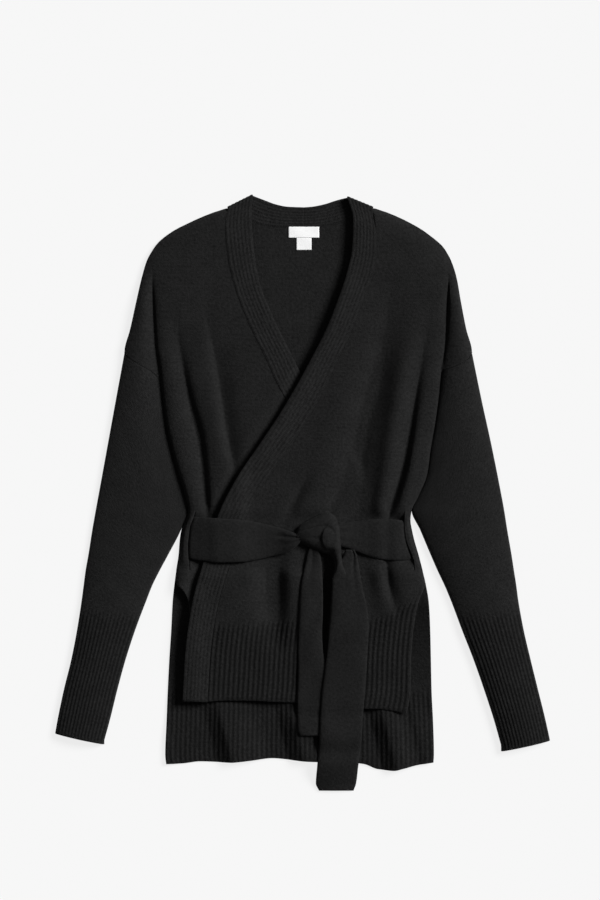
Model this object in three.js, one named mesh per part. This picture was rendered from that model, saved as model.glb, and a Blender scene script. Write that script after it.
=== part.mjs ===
import * as THREE from 'three';

// A wrap cardigan laid flat on its back: neck towards +Y, front upwards, millimetres.
// Its own right side is at -X. Every piece is one closed wall of knitted cloth.

const CLOTH = 2.2;
const SEAM_GAP = 0.3;
const LAYER_GAP = 0.4;
const REST = 2.6;
const LOFT = 3.9;
const HIDDEN_LEVEL = 3.5;
const OVER_LEVEL = 6.8;
const EDGE_SOFT = 8;
const CREASE_WIDTH = 11;
const COLUMN = 12;
const BACK_COLUMN = 22;

const RIB_RISE = 0.8;
const BAND_RIB_RISE = 0.5;
const BAND_RIBS = 6;
const FRONT_HEM_RIBS = 41;
const BACK_HEM_RIBS = 56;
const CUFF_RIBS = 13;
const HEM_RIB_TOP = -160;
const BACK_RIB_TOP = -250;

const BELT_THICK = 2.8;
const BELT_CROWN = 1.2;
const BELT_RISE = 1.6;
const BELT_SLOPE = 0.45;
const TAIL_SLOPE = 0.4;
const TAIL_LIFT = 2;
const KNOT_HOLLOW = 8.5;
const CUFF_DROP = 9;
const BELT_COLUMNS = 6;
const NECK_FEET = {right: -18.6, middle: -1.9, left: 12.2};
const SLOT_X = {right: -142.5, left: 129};
const SLOT_TOP = -20.5;
const SLOT_END = -97.5;
const SLOT_OPEN = 0.8;
const BELT_END_LEVEL = 5.2;
const STRIP_RISE = 7.4;
const LABEL = {x: 1.8, top: 341.8, wide: 39, high: 14, thick: 0.6};
const SIZE_TAB = {x: 2, wide: 19, high: 15, thick: 0.5};

const COLOURS = {
  body: '#1d1c1d',
  sleeve: '#201f20',
  trim: '#191819',
  belt: '#1b1a1b',
  label: '#ece9e6',
};

// Side edges of the body from the shoulder to the back hem
const BODY_EDGES = [
  {y: 365, right: -98, left: 93},
  {y: 361, right: -110.5, left: 105},
  {y: 353.5, right: -130, left: 123.5},
  {y: 345.5, right: -147.5, left: 139.5},
  {y: 338, right: -162.5, left: 152.5},
  {y: 330, right: -174.5, left: 163.5},
  {y: 322.5, right: -183.5, left: 173},
  {y: 315, right: -189.5, left: 180.5},
  {y: 307, right: -194.5, left: 185.5},
  {y: 299.5, right: -198.5, left: 189.5},
  {y: 276.5, right: -205.5, left: 197},
  {y: 248.5, right: -212, left: 202},
  {y: 210, right: -220.5, left: 209.5},
  {y: 182, right: -227.5, left: 216.5},
  {y: 174, right: -222, left: 213},
  {y: 165, right: -207.5, left: 199},
  {y: 156, right: -192.5, left: 177.5},
  {y: 146, right: -183.5, left: 176.5},
  {y: 120.5, right: -178.5, left: 174},
  {y: 88.5, right: -174, left: 169.5},
  {y: 56.5, right: -167, left: 164},
  {y: 24.5, right: -158, left: 159.5},
  {y: -1.5, right: -150, left: 149},
  {y: -20.5, right: -146, left: 139.5},
  {y: -33.5, right: -150, left: 138},
  {y: -46, right: -155, left: 140},
  {y: -59, right: -157, left: 143},
  {y: -78, right: -158.5, left: 148.5},
  {y: -97.5, right: -161.5, left: 153.5},
  {y: -116.5, right: -164, left: 158},
  {y: -135.5, right: -166, left: 161},
  {y: -174, right: -168, left: 163},
  {y: -212.5, right: -170.5, left: 164},
  {y: -251, right: -172.5, left: 165},
  {y: -289.5, right: -174, left: 167},
  {y: -327.5, right: -175.5, left: 168},
  {y: -345.5, right: -173.5, left: 167},
];

// Edges of each sleeve, from the drop shoulder to the cuff
const RIGHT_ARM = [
  {y: 182, outer: -227.5, inner: -185},
  {y: 114, outer: -240, inner: -178},
  {y: 75.5, outer: -247, inner: -171.5},
  {y: 37, outer: -254, inner: -162},
  {y: -1.5, outer: -261, inner: -150},
  {y: -20.5, outer: -264.5, inner: -146},
  {y: -46, outer: -269, inner: -155.5},
  {y: -78, outer: -274, inner: -172},
  {y: -97.5, outer: -277.5, inner: -182.5},
  {y: -116.5, outer: -280, inner: -192},
  {y: -135.5, outer: -282.5, inner: -199.5},
  {y: -174, outer: -288.5, inner: -214},
  {y: -212.5, outer: -296, inner: -226.5},
  {y: -251, outer: -305.5, inner: -237},
  {y: -289.5, outer: -313.5, inner: -246.5},
  {y: -315, outer: -318, inner: -253.5},
];
const LEFT_ARM = [
  {y: 182, outer: 216.5, inner: 183.5},
  {y: 114, outer: 230.5, inner: 173},
  {y: 75.5, outer: 239, inner: 167.5},
  {y: 37, outer: 247, inner: 162},
  {y: -1.5, outer: 254.5, inner: 149},
  {y: -20.5, outer: 258, inner: 139.5},
  {y: -46, outer: 262, inner: 150.5},
  {y: -78, outer: 267.5, inner: 164},
  {y: -97.5, outer: 270.5, inner: 172.5},
  {y: -116.5, outer: 273.5, inner: 181.5},
  {y: -135.5, outer: 276, inner: 189.5},
  {y: -174, outer: 283, inner: 204},
  {y: -212.5, outer: 292, inner: 219},
  {y: -251, outer: 301.5, inner: 232.5},
  {y: -289.5, outer: 311, inner: 245},
  {y: -321.5, outer: 318, inner: 254},
];

// Height of each sleeve section on its outer and inner edge
const SLEEVE_ROWS = [
  {outer: 182, inner: -20.5},
  {outer: 141, inner: -24.5},
  {outer: 100, inner: -33.5},
  {outer: 56.5, inner: -48.5},
  {outer: 13, inner: -66.5},
  {outer: -36, inner: -87},
  {outer: -87, inner: -115},
  {outer: -141, inner: -150},
  {outer: -182, inner: -192},
  {outer: -222.5, inner: -235.5},
  {outer: -263.5, inner: -279},
  {outer: -306, inner: -320},
];

// Front bands, from the shoulder to the hem
const OVER_BAND = [
  {freeX: 59.5, freeY: 382.9, seamX: 92.8, seamY: 365},
  {freeX: 62.5, freeY: 362, seamX: 93.5, seamY: 345.5},
  {freeX: 64, freeY: 330.5, seamX: 94, seamY: 322.5},
  {freeX: 60, freeY: 298.5, seamX: 92.5, seamY: 299.5},
  {freeX: 53, freeY: 271.5, seamX: 87.5, seamY: 276.5},
  {freeX: 44, freeY: 245, seamX: 77.5, seamY: 248.5},
  {freeX: 30.5, freeY: 211, seamX: 62.5, seamY: 210},
  {freeX: 19.5, freeY: 188.5, seamX: 49.5, seamY: 182},
  {freeX: 12.5, freeY: 175, seamX: 42, seamY: 165},
  {freeX: 4, freeY: 159.5, seamX: 33, seamY: 146},
  {freeX: -8, freeY: 137.5, seamX: 20, seamY: 120.5},
  {freeX: -26.5, freeY: 106.5, seamX: 1.5, seamY: 88.5},
  {freeX: -47, freeY: 75.5, seamX: -19.5, seamY: 56.5},
  {freeX: -68.5, freeY: 42.5, seamX: -41.5, seamY: 24.5},
  {freeX: -86.5, freeY: 15, seamX: -58.5, seamY: -1.5},
  {freeX: -104, freeY: -20, seamX: -74, seamY: -33.5},
  {freeX: -114.5, freeY: -48, seamX: -83, seamY: -59},
  {freeX: -127.5, freeY: -90, seamX: -95.5, seamY: -97.5},
  {freeX: -138, freeY: -130.5, seamX: -106, seamY: -136},
  {freeX: -142.5, freeY: -155.5, seamX: -110.5, seamY: -160},
  {freeX: -148, freeY: -191, seamX: -116, seamY: -194},
  {freeX: -151, freeY: -227, seamX: -119, seamY: -229},
  {freeX: -153, freeY: -262.5, seamX: -121, seamY: -264},
];
const UNDER_BAND = [
  {freeX: -65.9, freeY: 381.6, seamX: -97.9, seamY: 365},
  {freeX: -65.5, freeY: 363, seamX: -98, seamY: 345.5},
  {freeX: -64, freeY: 338.5, seamX: -96.5, seamY: 322.5},
  {freeX: -62, freeY: 312.5, seamX: -94, seamY: 299.5},
  {freeX: -57.5, freeY: 285.5, seamX: -88.5, seamY: 276.5},
  {freeX: -49.5, freeY: 255.5, seamX: -80, seamY: 248.5},
  {freeX: -34, freeY: 219, seamX: -64, seamY: 210},
  {freeX: -22, freeY: 193.5, seamX: -50.5, seamY: 182},
  {freeX: -18.5, freeY: 186.5, seamX: -46.5, seamY: 174},
  {freeX: -14.5, freeY: 178.5, seamX: -42.5, seamY: 165},
  {freeX: -10.5, freeY: 171, seamX: -38.5, seamY: 156},
  {freeX: -6.5, freeY: 162.5, seamX: -34.5, seamY: 146},
  {freeX: 0.5, freeY: 149.5, seamX: -27.5, seamY: 133},
  {freeX: 7.5, freeY: 136.5, seamX: -20.5, seamY: 120.5},
  {freeX: 17, freeY: 119.5, seamX: -11, seamY: 104},
  {freeX: 25.5, freeY: 104, seamX: -2.5, seamY: 88.5},
  {freeX: 46, freeY: 70, seamX: 17.5, seamY: 56.5},
  {freeX: 64.5, freeY: 35.5, seamX: 35.5, seamY: 24.5},
  {freeX: 78, freeY: 6.5, seamX: 47.5, seamY: -1.5},
  {freeX: 90, freeY: -40.5, seamX: 58.5, seamY: -46},
  {freeX: 100, freeY: -95, seamX: 68, seamY: -97.5},
  {freeX: 107, freeY: -137.5, seamX: 75, seamY: -140},
  {freeX: 109.5, freeY: -220, seamX: 77.5, seamY: -220},
  {freeX: 109.5, freeY: -261, seamX: 77.5, seamY: -261},
];

// Back neck band, from the right shoulder to the left
const BACK_NECK = [
  {freeX: -63.5, freeY: 381.5, seamX: -95.5, seamY: 365.5},
  {freeX: -57, freeY: 379, seamX: -72.5, seamY: 353.5},
  {freeX: -46.5, freeY: 375, seamX: -54.5, seamY: 345.5},
  {freeX: -34, freeY: 370.5, seamX: -36.5, seamY: 342.5},
  {freeX: -18.5, freeY: 367.5, seamX: -18.5, seamY: 341.5},
  {freeX: -2, freeY: 366.5, seamX: -2, seamY: 341},
  {freeX: 12, freeY: 367.5, seamX: 12, seamY: 341.5},
  {freeX: 27.5, freeY: 370.5, seamX: 30, seamY: 343.5},
  {freeX: 41.5, freeY: 375, seamX: 48, seamY: 348},
  {freeX: 50.5, freeY: 377.5, seamX: 66, seamY: 354.5},
  {freeX: 57, freeY: 379, seamX: 90, seamY: 365.5},
];

// Hem lines of the front and the back
const HEMS = [
  {x: -176, front: -263.5, back: -345.5},
  {x: -153, front: -263.5, back: -344.5},
  {x: -131, front: -265, back: -342},
  {x: -99, front: -263.5, back: -343},
  {x: -67, front: -263.5, back: -340.5},
  {x: -39, front: -265, back: -338},
  {x: -8.5, front: -266, back: -340.5},
  {x: 22.5, front: -269, back: -342},
  {x: 54.5, front: -271.5, back: -343},
  {x: 78.5, front: -274, back: -345.5},
  {x: 96.5, front: -274, back: -352},
  {x: 114.5, front: -276.5, back: -353.5},
  {x: 128.5, front: -279, back: -350.5},
  {x: 144, front: -279, back: -347},
  {x: 168.5, front: -279, back: -343},
];

// Folds that run down to the belt, and those below it
const RIGHT_FOLDS = [
  {topX: -173.5, topY: 248.5, midX: -151.5, midY: 120.5, endX: -134, endY: -18, rise: 12, width: 18},
  {topX: -131, topY: 248.5, midX: -107, midY: 94.5, endX: -98, endY: -13, rise: 10, width: 15.5},
  {topX: -85, topY: 261, midX: -77.5, midY: 146, endX: -67, endY: 69, rise: 5, width: 25.5},
];
const LEFT_FOLDS = [
  {topX: 167, topY: 222.5, midX: 150.5, midY: 94.5, endX: 127.5, endY: -15.5, rise: 12, width: 16.5},
  {topX: 137.5, topY: 120.5, midX: 119.5, midY: 50, endX: 103, endY: -18, rise: 8, width: 11.5},
  {topX: 140, topY: 222.5, midX: 112, midY: 114, endX: 76, endY: 5, rise: 10, width: 16.5},
  {topX: 119.5, topY: 261, midX: 73.5, midY: 133, endX: 20, endY: 5, rise: 8, width: 23},
  {topX: 25, topY: 82, midX: 4.5, midY: 18, endX: -0.5, endY: -23, rise: 6, width: 14},
  {topX: -13.5, topY: 82, midX: -39, midY: 18, endX: -52, endY: -23, rise: 6, width: 15.5},
];
const SKIRT_FOLDS = [
  {topX: -64.5, topY: -87, midX: -68.5, midY: -123, endX: -72.5, endY: -199.5, rise: 7, width: 19},
  {topX: -3, topY: -87, midX: 2, midY: -135.5, endX: 7, endY: -212.5, rise: 4, width: 15.5},
  {topX: 93, topY: -87, midX: 96.5, midY: -123, endX: 104.5, endY: -187, rise: 6, width: 11.5},
  {topX: 131, topY: -92, midX: 131, midY: -123, endX: 125, endY: -199.5, rise: 5, width: 13},
];

// Belt, knot and tails
const BELT_RIGHT = [
  {x: -146.5, top: -36, bottom: -78},
  {x: -142.5, top: -29.5, bottom: -82},
  {x: -125, top: -29.5, bottom: -85},
  {x: -105.5, top: -30.5, bottom: -87},
  {x: -72.5, top: -33.5, bottom: -86},
  {x: -41.5, top: -38.5, bottom: -80.5},
  {x: -23.5, top: -43, bottom: -75},
  {x: -7, top: -46, bottom: -64.5},
  {x: 12, top: -47.5, bottom: -65.5},
];
const BELT_LEFT = [
  {x: 27.5, top: -45, bottom: -66.5},
  {x: 45.5, top: -40.5, bottom: -68},
  {x: 63.5, top: -34.5, bottom: -74},
  {x: 81.5, top: -32, bottom: -79.5},
  {x: 99, top: -30.5, bottom: -83},
  {x: 114.5, top: -32, bottom: -84.5},
  {x: 126, top: -36, bottom: -82.5},
  {x: 132.5, top: -39.5, bottom: -79.5},
];
const KNOT = [
  {x: -6.5, top: -42, bottom: -70},
  {x: 2, top: -35, bottom: -73.5},
  {x: 13.5, top: -29, bottom: -77},
  {x: 25, top: -25, bottom: -79.5},
  {x: 36.5, top: -23, bottom: -82},
  {x: 43, top: -26, bottom: -80.5},
  {x: 47.5, top: -33.5, bottom: -73},
];
const LONG_TAIL = [
  {y: -86, from: 44, to: 68},
  {y: -93.5, from: 40.5, to: 70.5},
  {y: -103.5, from: 39, to: 72.5},
  {y: -123, from: 36.5, to: 76},
  {y: -148.5, from: 35, to: 82.5},
  {y: -174, from: 33.5, to: 84},
  {y: -199.5, from: 31.5, to: 82.5},
  {y: -225.5, from: 28, to: 81.5},
  {y: -251, from: 25, to: 79.5},
  {y: -276.5, from: 23, to: 77.5},
  {y: -315, from: 21, to: 75},
  {y: -347, from: 18.5, to: 71},
  {y: -370, from: 17, to: 68.5},
  {y: -379.5, from: 21, to: 65.5},
];
const SHORT_TAIL = [
  {y: -83, from: 7, to: 26},
  {y: -92, from: 4, to: 29.5},
  {y: -103.5, from: 2, to: 29},
  {y: -123, from: -2, to: 27},
  {y: -148.5, from: -4.5, to: 25},
  {y: -174, from: -5, to: 24.5},
  {y: -199.5, from: -6, to: 26},
  {y: -228, from: -6, to: 34},
  {y: -263.5, from: -6.5, to: 38},
  {y: -299.5, from: -6.5, to: 40.5},
  {y: -308, from: -3, to: 38},
];

const clamp = (value, low, high) => Math.min(high, Math.max(low, value));

function smooth(value, from, to) {
  const t = clamp((value - from) / (to - from), 0, 1);
  return t * t * (3 - 2 * t);
}

// Value of one column of a table where another column has the given value
function read(table, column, key, value) {
  const rising = table[table.length - 1][key] > table[0][key];
  const rows = rising ? table : [...table].reverse();
  if (value <= rows[0][key]) return rows[0][column];
  for (let i = 1; i < rows.length; i += 1) {
    const a = rows[i - 1];
    const b = rows[i];
    if (value <= b[key]) {
      const t = (value - a[key]) / (b[key] - a[key]);
      return a[column] + (b[column] - a[column]) * t;
    }
  }
  return rows[rows.length - 1][column];
}

const stepsOf = (points) => points.slice(1).map((p, i) => (
  Math.hypot(p.x - points[i].x, p.y - points[i].y)));

const lengthOf = (points) => stepsOf(points).reduce((sum, step) => sum + step, 0);

// Share of the length of a line at which each of its points lies
function shares(points) {
  let sum = 0;
  return [0, ...stepsOf(points).map((step) => {
    sum += step;
    return Math.min(1, sum / lengthOf(points));
  })];
}

// Point at a share of the length of a line of points
function along(points, share) {
  const steps = stepsOf(points);
  let left = share * lengthOf(points);
  for (let i = 0; i < steps.length; i += 1) {
    if (left <= steps[i] || i === steps.length - 1) {
      const t = steps[i] > 0 ? clamp(left / steps[i], 0, 1) : 0;
      return {
        x: points[i].x + (points[i + 1].x - points[i].x) * t,
        y: points[i].y + (points[i + 1].y - points[i].y) * t,
      };
    }
    left -= steps[i];
  }
  return points[points.length - 1];
}

const rightEdge = (y) => read(BODY_EDGES, 'right', 'y', y);
const leftEdge = (y) => read(BODY_EDGES, 'left', 'y', y);
const overFree = (y) => read(OVER_BAND, 'freeX', 'freeY', y);
const overSeam = (y) => read(OVER_BAND, 'seamX', 'seamY', y);
const underFree = (y) => read(UNDER_BAND, 'freeX', 'freeY', y);
const underSeam = (y) => read(UNDER_BAND, 'seamX', 'seamY', y);
const frontHem = (x) => read(HEMS, 'front', 'x', x);
const backHem = (x) => read(HEMS, 'back', 'x', x);

// Outermost line of the cloth on one side: shoulder first, then the sleeve
function outerLine(side, y) {
  const arm = side < 0 ? RIGHT_ARM : LEFT_ARM;
  if (y < arm[0].y) return read(arm, 'outer', 'y', y);
  return side < 0 ? rightEdge(y) : leftEdge(y);
}

// Deep crease between the body and the sleeve, then the inner line of the sleeve
function creaseLine(side, y) {
  return read(side < 0 ? RIGHT_ARM : LEFT_ARM, 'inner', 'y', y);
}

// Height of the underside of the upper cloth layer over shoulder, sleeve and body
function looseLevel(side, x, y) {
  const fromEdge = Math.max(0, side * (outerLine(side, y) - x));
  const fromCrease = Math.abs(x - creaseLine(side, y));
  const crease = (1 - smooth(y, 190, 290)) * Math.exp(-fromCrease / CREASE_WIDTH);
  return REST + LOFT * (1 - Math.exp(-fromEdge / EDGE_SOFT)) * (1 - crease);
}

// Height of a ridge that follows the middle of a fold, run by run down the cloth
function foldHeight(folds, x, y) {
  let height = 0;
  for (const fold of folds) {
    if (y > fold.topY || y < fold.endY - 30) continue;
    const line = [
      {x: fold.topX, y: fold.topY},
      {x: fold.midX, y: fold.midY},
      {x: fold.endX, y: fold.endY},
    ];
    const middle = read(line, 'x', 'y', y);
    const lean = Math.hypot(fold.topX - fold.endX, fold.topY - fold.endY);
    const across = (x - middle) * (fold.topY - fold.endY) / lean;
    const grow = smooth(fold.topY - y, 0, 0.45 * (fold.topY - fold.endY));
    const fade = 1 - smooth(fold.endY - y, 0, 30);
    height += fold.rise * grow * fade * Math.exp(-((across / (0.75 * fold.width)) ** 2));
  }
  return height;
}

// The belt presses the folds flat
function beltPress(y) {
  return 1 - 0.85 * smooth(y, -100, -88) * (1 - smooth(y, -30, -14));
}

function skirtSettle(y) {
  return smooth(y, -262, -200);
}

function stripLift(side, x, y) {
  const slot = side < 0 ? SLOT_X.right : SLOT_X.left;
  const outward = side * (x - slot);
  if (outward < -0.5) return 0;
  const reach = side < 0 ? slot - rightEdge(y) : leftEdge(y) - slot;
  const high = smooth(y, SLOT_END, SLOT_END + 18) * (1 - smooth(y, SLOT_TOP - 14, SLOT_TOP));
  return high * (1 - smooth(outward, 0.5 * reach, reach));
}

// Undersides of the two fronts
function underLevel(x, y) {
  const visible = smooth(overFree(y) - x, 3, 20);
  const press = beltPress(y);
  const near = 1 - smooth(x, -134, -120);
  const flat = 1 - near * (1 - smooth(Math.abs(y + 58), 32, 50));
  const loose = looseLevel(-1, x, y) - REST + foldHeight(RIGHT_FOLDS, x, y) * press;
  const level = REST + loose * flat;
  const strip = stripLift(-1, x, y) * STRIP_RISE;
  return HIDDEN_LEVEL + (Math.max(REST, level) - HIDDEN_LEVEL) * visible + strip;
}

function overLevel(x, y) {
  const press = beltPress(y);
  const near = smooth(x, 108, 122);
  const flat = 1 - near * (1 - smooth(Math.abs(y + 58), 32, 50));
  const folds = foldHeight(LEFT_FOLDS, x, y) + foldHeight(SKIRT_FOLDS, x, y) * skirtSettle(y);
  const level = REST + (looseLevel(1, x, y) - REST + folds * press) * flat;
  const strip = stripLift(1, x, y) * STRIP_RISE;
  const overlap = y < 180 ? 1 - smooth(x, underFree(y) + 2, underFree(y) + 14) : 0;
  return Math.max(level, REST + (OVER_LEVEL - REST) * overlap) + strip;
}

const cloth = (level) => (x, y) => {
  const slopeX = (level(x + 1, y) - level(x - 1, y)) / 2;
  const slopeY = (level(x, y + 1) - level(x, y - 1)) / 2;
  return CLOTH * clamp(Math.hypot(1, slopeX, slopeY), 1, 1.3);
};

const underTop = (x, y) => underLevel(x, y) + cloth(underLevel)(x, y);
const overTop = (x, y) => overLevel(x, y) + cloth(overLevel)(x, y);

// Triangles between two rows of points that run the same way; the first row lies to the left
function zip(first, second, out) {
  let i = 0;
  let j = 0;
  const far = (p, q) => (p.x - q.x) ** 2 + (p.y - q.y) ** 2 + (p.z - q.z) ** 2;
  while (i < first.length - 1 || j < second.length - 1) {
    const canFirst = i < first.length - 1;
    const canSecond = j < second.length - 1;
    const stepFirst = canFirst ? far(first[i + 1], second[j]) : Infinity;
    const stepSecond = canSecond ? far(first[i], second[j + 1]) : Infinity;
    if (stepFirst < stepSecond) {
      out.push([second[j], first[i + 1], first[i]]);
      i += 1;
    } else {
      out.push([second[j], second[j + 1], first[i]]);
      j += 1;
    }
  }
}

// The same, part by part where both rows cross the line of an edge that lies on top
function zipParts(first, second, out) {
  const cut = (row) => row.findIndex((p) => p.onLine);
  const [i, j] = [cut(first), cut(second)];
  if (i < 1 || j < 1 || i > first.length - 2 || j > second.length - 2) {
    zip(first, second, out);
    return;
  }
  zip(first.slice(0, i + 1), second.slice(0, j + 1), out);
  zip(first.slice(i), second.slice(j), out);
}

// One closed solid from its triangles, equal points merged and empty triangles dropped
function solid(name, faces, colour, roughness = 0.95) {
  const ids = new Map();
  const positions = [];
  const index = [];
  const idOf = (p) => {
    const key = [p.x, p.y, p.z].map((v) => Math.round(v * 1000)).join(',');
    if (!ids.has(key)) {
      ids.set(key, ids.size);
      positions.push(p.x, p.y, p.z);
    }
    return ids.get(key);
  };
  for (const face of faces) {
    const [a, b, c] = face.map(idOf);
    if (a !== b && b !== c && c !== a) index.push(a, b, c);
  }
  const geometry = new THREE.BufferGeometry();
  geometry.setAttribute('position', new THREE.Float32BufferAttribute(positions, 3));
  geometry.setIndex(index);
  geometry.computeVertexNormals();
  const material = new THREE.MeshStandardMaterial({color: colour, roughness, metalness: 0});
  const mesh = new THREE.Mesh(geometry, material);
  mesh.name = name;
  return mesh;
}

// Closes an upper and a lower skin of equal layout with a wall along every free edge
function wallBetween(upper, lower) {
  const faces = [...upper];
  const edges = new Set();
  const keyOf = (p) => [p.x, p.y, p.z].map((v) => Math.round(v * 1000)).join(',');
  upper.forEach((face) => {
    for (let k = 0; k < 3; k += 1) {
      edges.add(`${keyOf(face[k])}|${keyOf(face[(k + 1) % 3])}`);
    }
  });
  upper.forEach((face, f) => {
    const [a, b, c] = lower[f];
    faces.push([c, b, a]);
    for (let k = 0; k < 3; k += 1) {
      const p = face[k];
      const q = face[(k + 1) % 3];
      if (edges.has(`${keyOf(q)}|${keyOf(p)}`)) continue;
      const pLow = lower[f][k];
      const qLow = lower[f][(k + 1) % 3];
      faces.push([q, p, pLow], [q, pLow, qLow]);
    }
  });
  return faces;
}

// A panel over blocks of rows; each point of a row holds x, y and how far a rib lifts it
function panel(name, blocks, level, thickness, colour) {
  const flat = [];
  for (const rows of blocks) {
    for (let r = 1; r < rows.length; r += 1) zipParts(rows[r - 1], rows[r], flat);
  }
  const low = flat.map((face) => face.map((p) => ({x: p.x, y: p.y, z: level(p.x, p.y)})));
  const high = flat.map((face) => face.map((p) => {
    const top = level(p.x, p.y) + thickness(p.x, p.y) + p.rib;
    return {x: p.x, y: p.y, z: top};
  }));
  return solid(name, wallBetween(high, low), colour);
}

const point = (x, y, rib = 0) => ({x, y, z: 0, rib});

// Points of one level row on a lattice of columns, with its two ends and named stops
function latticeRow(y, from, to, column, stops = []) {
  const fixed = [from, ...stops.filter((x) => x > from + 1 && x < to - 1), to];
  const xs = [...fixed];
  for (let x = Math.ceil(from / column) * column; x < to; x += column) {
    if (fixed.every((f) => Math.abs(f - x) > 0.35 * column)) xs.push(x);
  }
  return xs.sort((a, b) => a - b).map((x) => point(x, y));
}

// Points of one ribbed row, evenly spread, every second one on the crest of a rib
function ribRow(ribs, place, rise) {
  const row = [];
  for (let i = 0; i <= ribs * 2; i += 1) {
    const p = place(i / (ribs * 2));
    row.push(point(p.x, p.y, i % 2 === 1 ? rise : 0));
  }
  return row;
}

// Points of a row that lie between two lines, both included
const between = (row, from, to) => row.filter((p) => p.x > from - 0.01 && p.x < to + 0.01);

// Rows of a slit part: the side strip and the main part shrink away from the slit line
function slitRow(row, slot, side, open) {
  const strip = row.filter((p) => side * (p.x - slot) > -0.01);
  const main = row.filter((p) => side * (p.x - slot) < 0.01);
  const shift = (part, way) => part.map((p) => (
    Math.abs(p.x - slot) < 0.01 ? point(p.x + way * side * open, p.y) : p));
  return {strip: shift(strip, 1), main: shift(main, -1)};
}

// Back panel: two shoulders beside the neck, then the whole width to the ribbed hem
function backPanel() {
  const neck = (side) => (y) => {
    const half = BACK_NECK.filter((row) => side * row.seamX > 0);
    const foldRoom = 3 * smooth(y, 350, 362);
    return read(half, 'seamX', 'seamY', y + 1.5 * SEAM_GAP) + side * foldRoom;
  };
  const shoulderRows = (side) => BACK_NECK.filter((row) => side * row.seamX > 20)
    .map((row) => Math.min(362, row.seamY - 1.5 * SEAM_GAP))
    .sort((a, b) => b - a);
  const joinY = 340.5;
  const stops = [NECK_FEET.right, NECK_FEET.middle, NECK_FEET.left];
  const joinRow = latticeRow(joinY, rightEdge(joinY), leftEdge(joinY), BACK_COLUMN, stops);
  const right = shoulderRows(-1).map((y) => latticeRow(y, rightEdge(y), neck(-1)(y), BACK_COLUMN));
  const left = shoulderRows(1).map((y) => latticeRow(y, neck(1)(y), leftEdge(y), BACK_COLUMN));
  const rows = [joinRow];
  for (const {y} of BODY_EDGES) {
    if (y < joinY - 4 && y > BACK_RIB_TOP) {
      rows.push(latticeRow(y, rightEdge(y), leftEdge(y), BACK_COLUMN));
    }
  }
  const ribbed = [0, 0.5, 1].map((share) => ribRow(BACK_HEM_RIBS, (t) => {
    const level = BACK_RIB_TOP + (backHem(0) - BACK_RIB_TOP) * share;
    const x = rightEdge(level) + (leftEdge(level) - rightEdge(level)) * t;
    return {x, y: BACK_RIB_TOP + (backHem(x) - BACK_RIB_TOP) * share};
  }, RIB_RISE));
  rows.push(latticeRow(BACK_RIB_TOP + 3, rightEdge(BACK_RIB_TOP + 3), leftEdge(BACK_RIB_TOP + 3),
    BACK_COLUMN), ...ribbed);
  const rightFoot = between(joinRow, rightEdge(joinY), NECK_FEET.right);
  const leftFoot = between(joinRow, NECK_FEET.left, leftEdge(joinY));
  return panel('back', [[...right, rightFoot], [...left, leftFoot], rows], () => 0, () => CLOTH,
    COLOURS.body);
}

// Rows of a front in blocks: above the slit, beside it on both sides, and below it
function frontRows(side, from, to, rowList, slot) {
  const upper = [];
  const strip = [];
  const main = [];
  const lower = [];
  for (const y of rowList) {
    const outer = side < 0 ? from(y) : to(y);
    const line = side < 0 ? overFree(y) - 2.5 : null;
    const stops = line === null ? [] : [line];
    if (y <= SLOT_TOP && y >= SLOT_END) stops.push(slot, slot + (outer - slot) / 2);
    const row = latticeRow(y, from(y), to(y), COLUMN, stops);
    for (const p of row) p.onLine = p.x === line;
    if (y >= SLOT_TOP) upper.push(row);
    if (y <= SLOT_TOP && y >= SLOT_END) {
      const open = y === SLOT_TOP || y === SLOT_END ? 0 : SLOT_OPEN;
      const parts = slitRow(row, slot, side, open);
      strip.push(parts.strip);
      main.push(parts.main);
    }
    if (y <= SLOT_END) lower.push(row);
  }
  return {blocks: [upper, strip, main], lower};
}

const UPPER_ROWS = BODY_EDGES.map((row) => row.y).filter((y) => y > SLOT_TOP + 4);
const CROSSING_ROWS = [133, 104];
const WAIST_ROWS = [SLOT_TOP, -33.5, -46, -59, -71, -84, SLOT_END];

// Left front, on top: from its band to the left side, ribbed at the hem
function leftFront() {
  const from = (y) => overSeam(y) + SEAM_GAP;
  const vent = [
    {y: -97.5, x: 153.5}, {y: -116.5, x: 156}, {y: -122, x: 154}, {y: -136, x: 148},
    {y: -161, x: 142.5}, {y: -200, x: 138.5}, {y: -238, x: 137.5}, {y: -279, x: 129},
  ];
  const to = (y) => (y > -97.5 ? leftEdge(y) : read(vent, 'x', 'y', y));
  const list = [...UPPER_ROWS, ...WAIST_ROWS, -116.5, -136, HEM_RIB_TOP + 3];
  const {blocks, lower} = frontRows(1, from, to, list, SLOT_X.left);
  const ribbed = [0, 0.33, 0.66, 1].map((share) => ribRow(FRONT_HEM_RIBS, (t) => {
    const level = HEM_RIB_TOP + (frontHem(0) - HEM_RIB_TOP) * share;
    const x = from(level) + (to(level) - from(level)) * t;
    return {x, y: HEM_RIB_TOP + (frontHem(x) - HEM_RIB_TOP) * share};
  }, RIB_RISE));
  return panel('front_left', [...blocks, [...lower, ...ribbed]], overLevel, cloth(overLevel),
    COLOURS.body);
}

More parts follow.
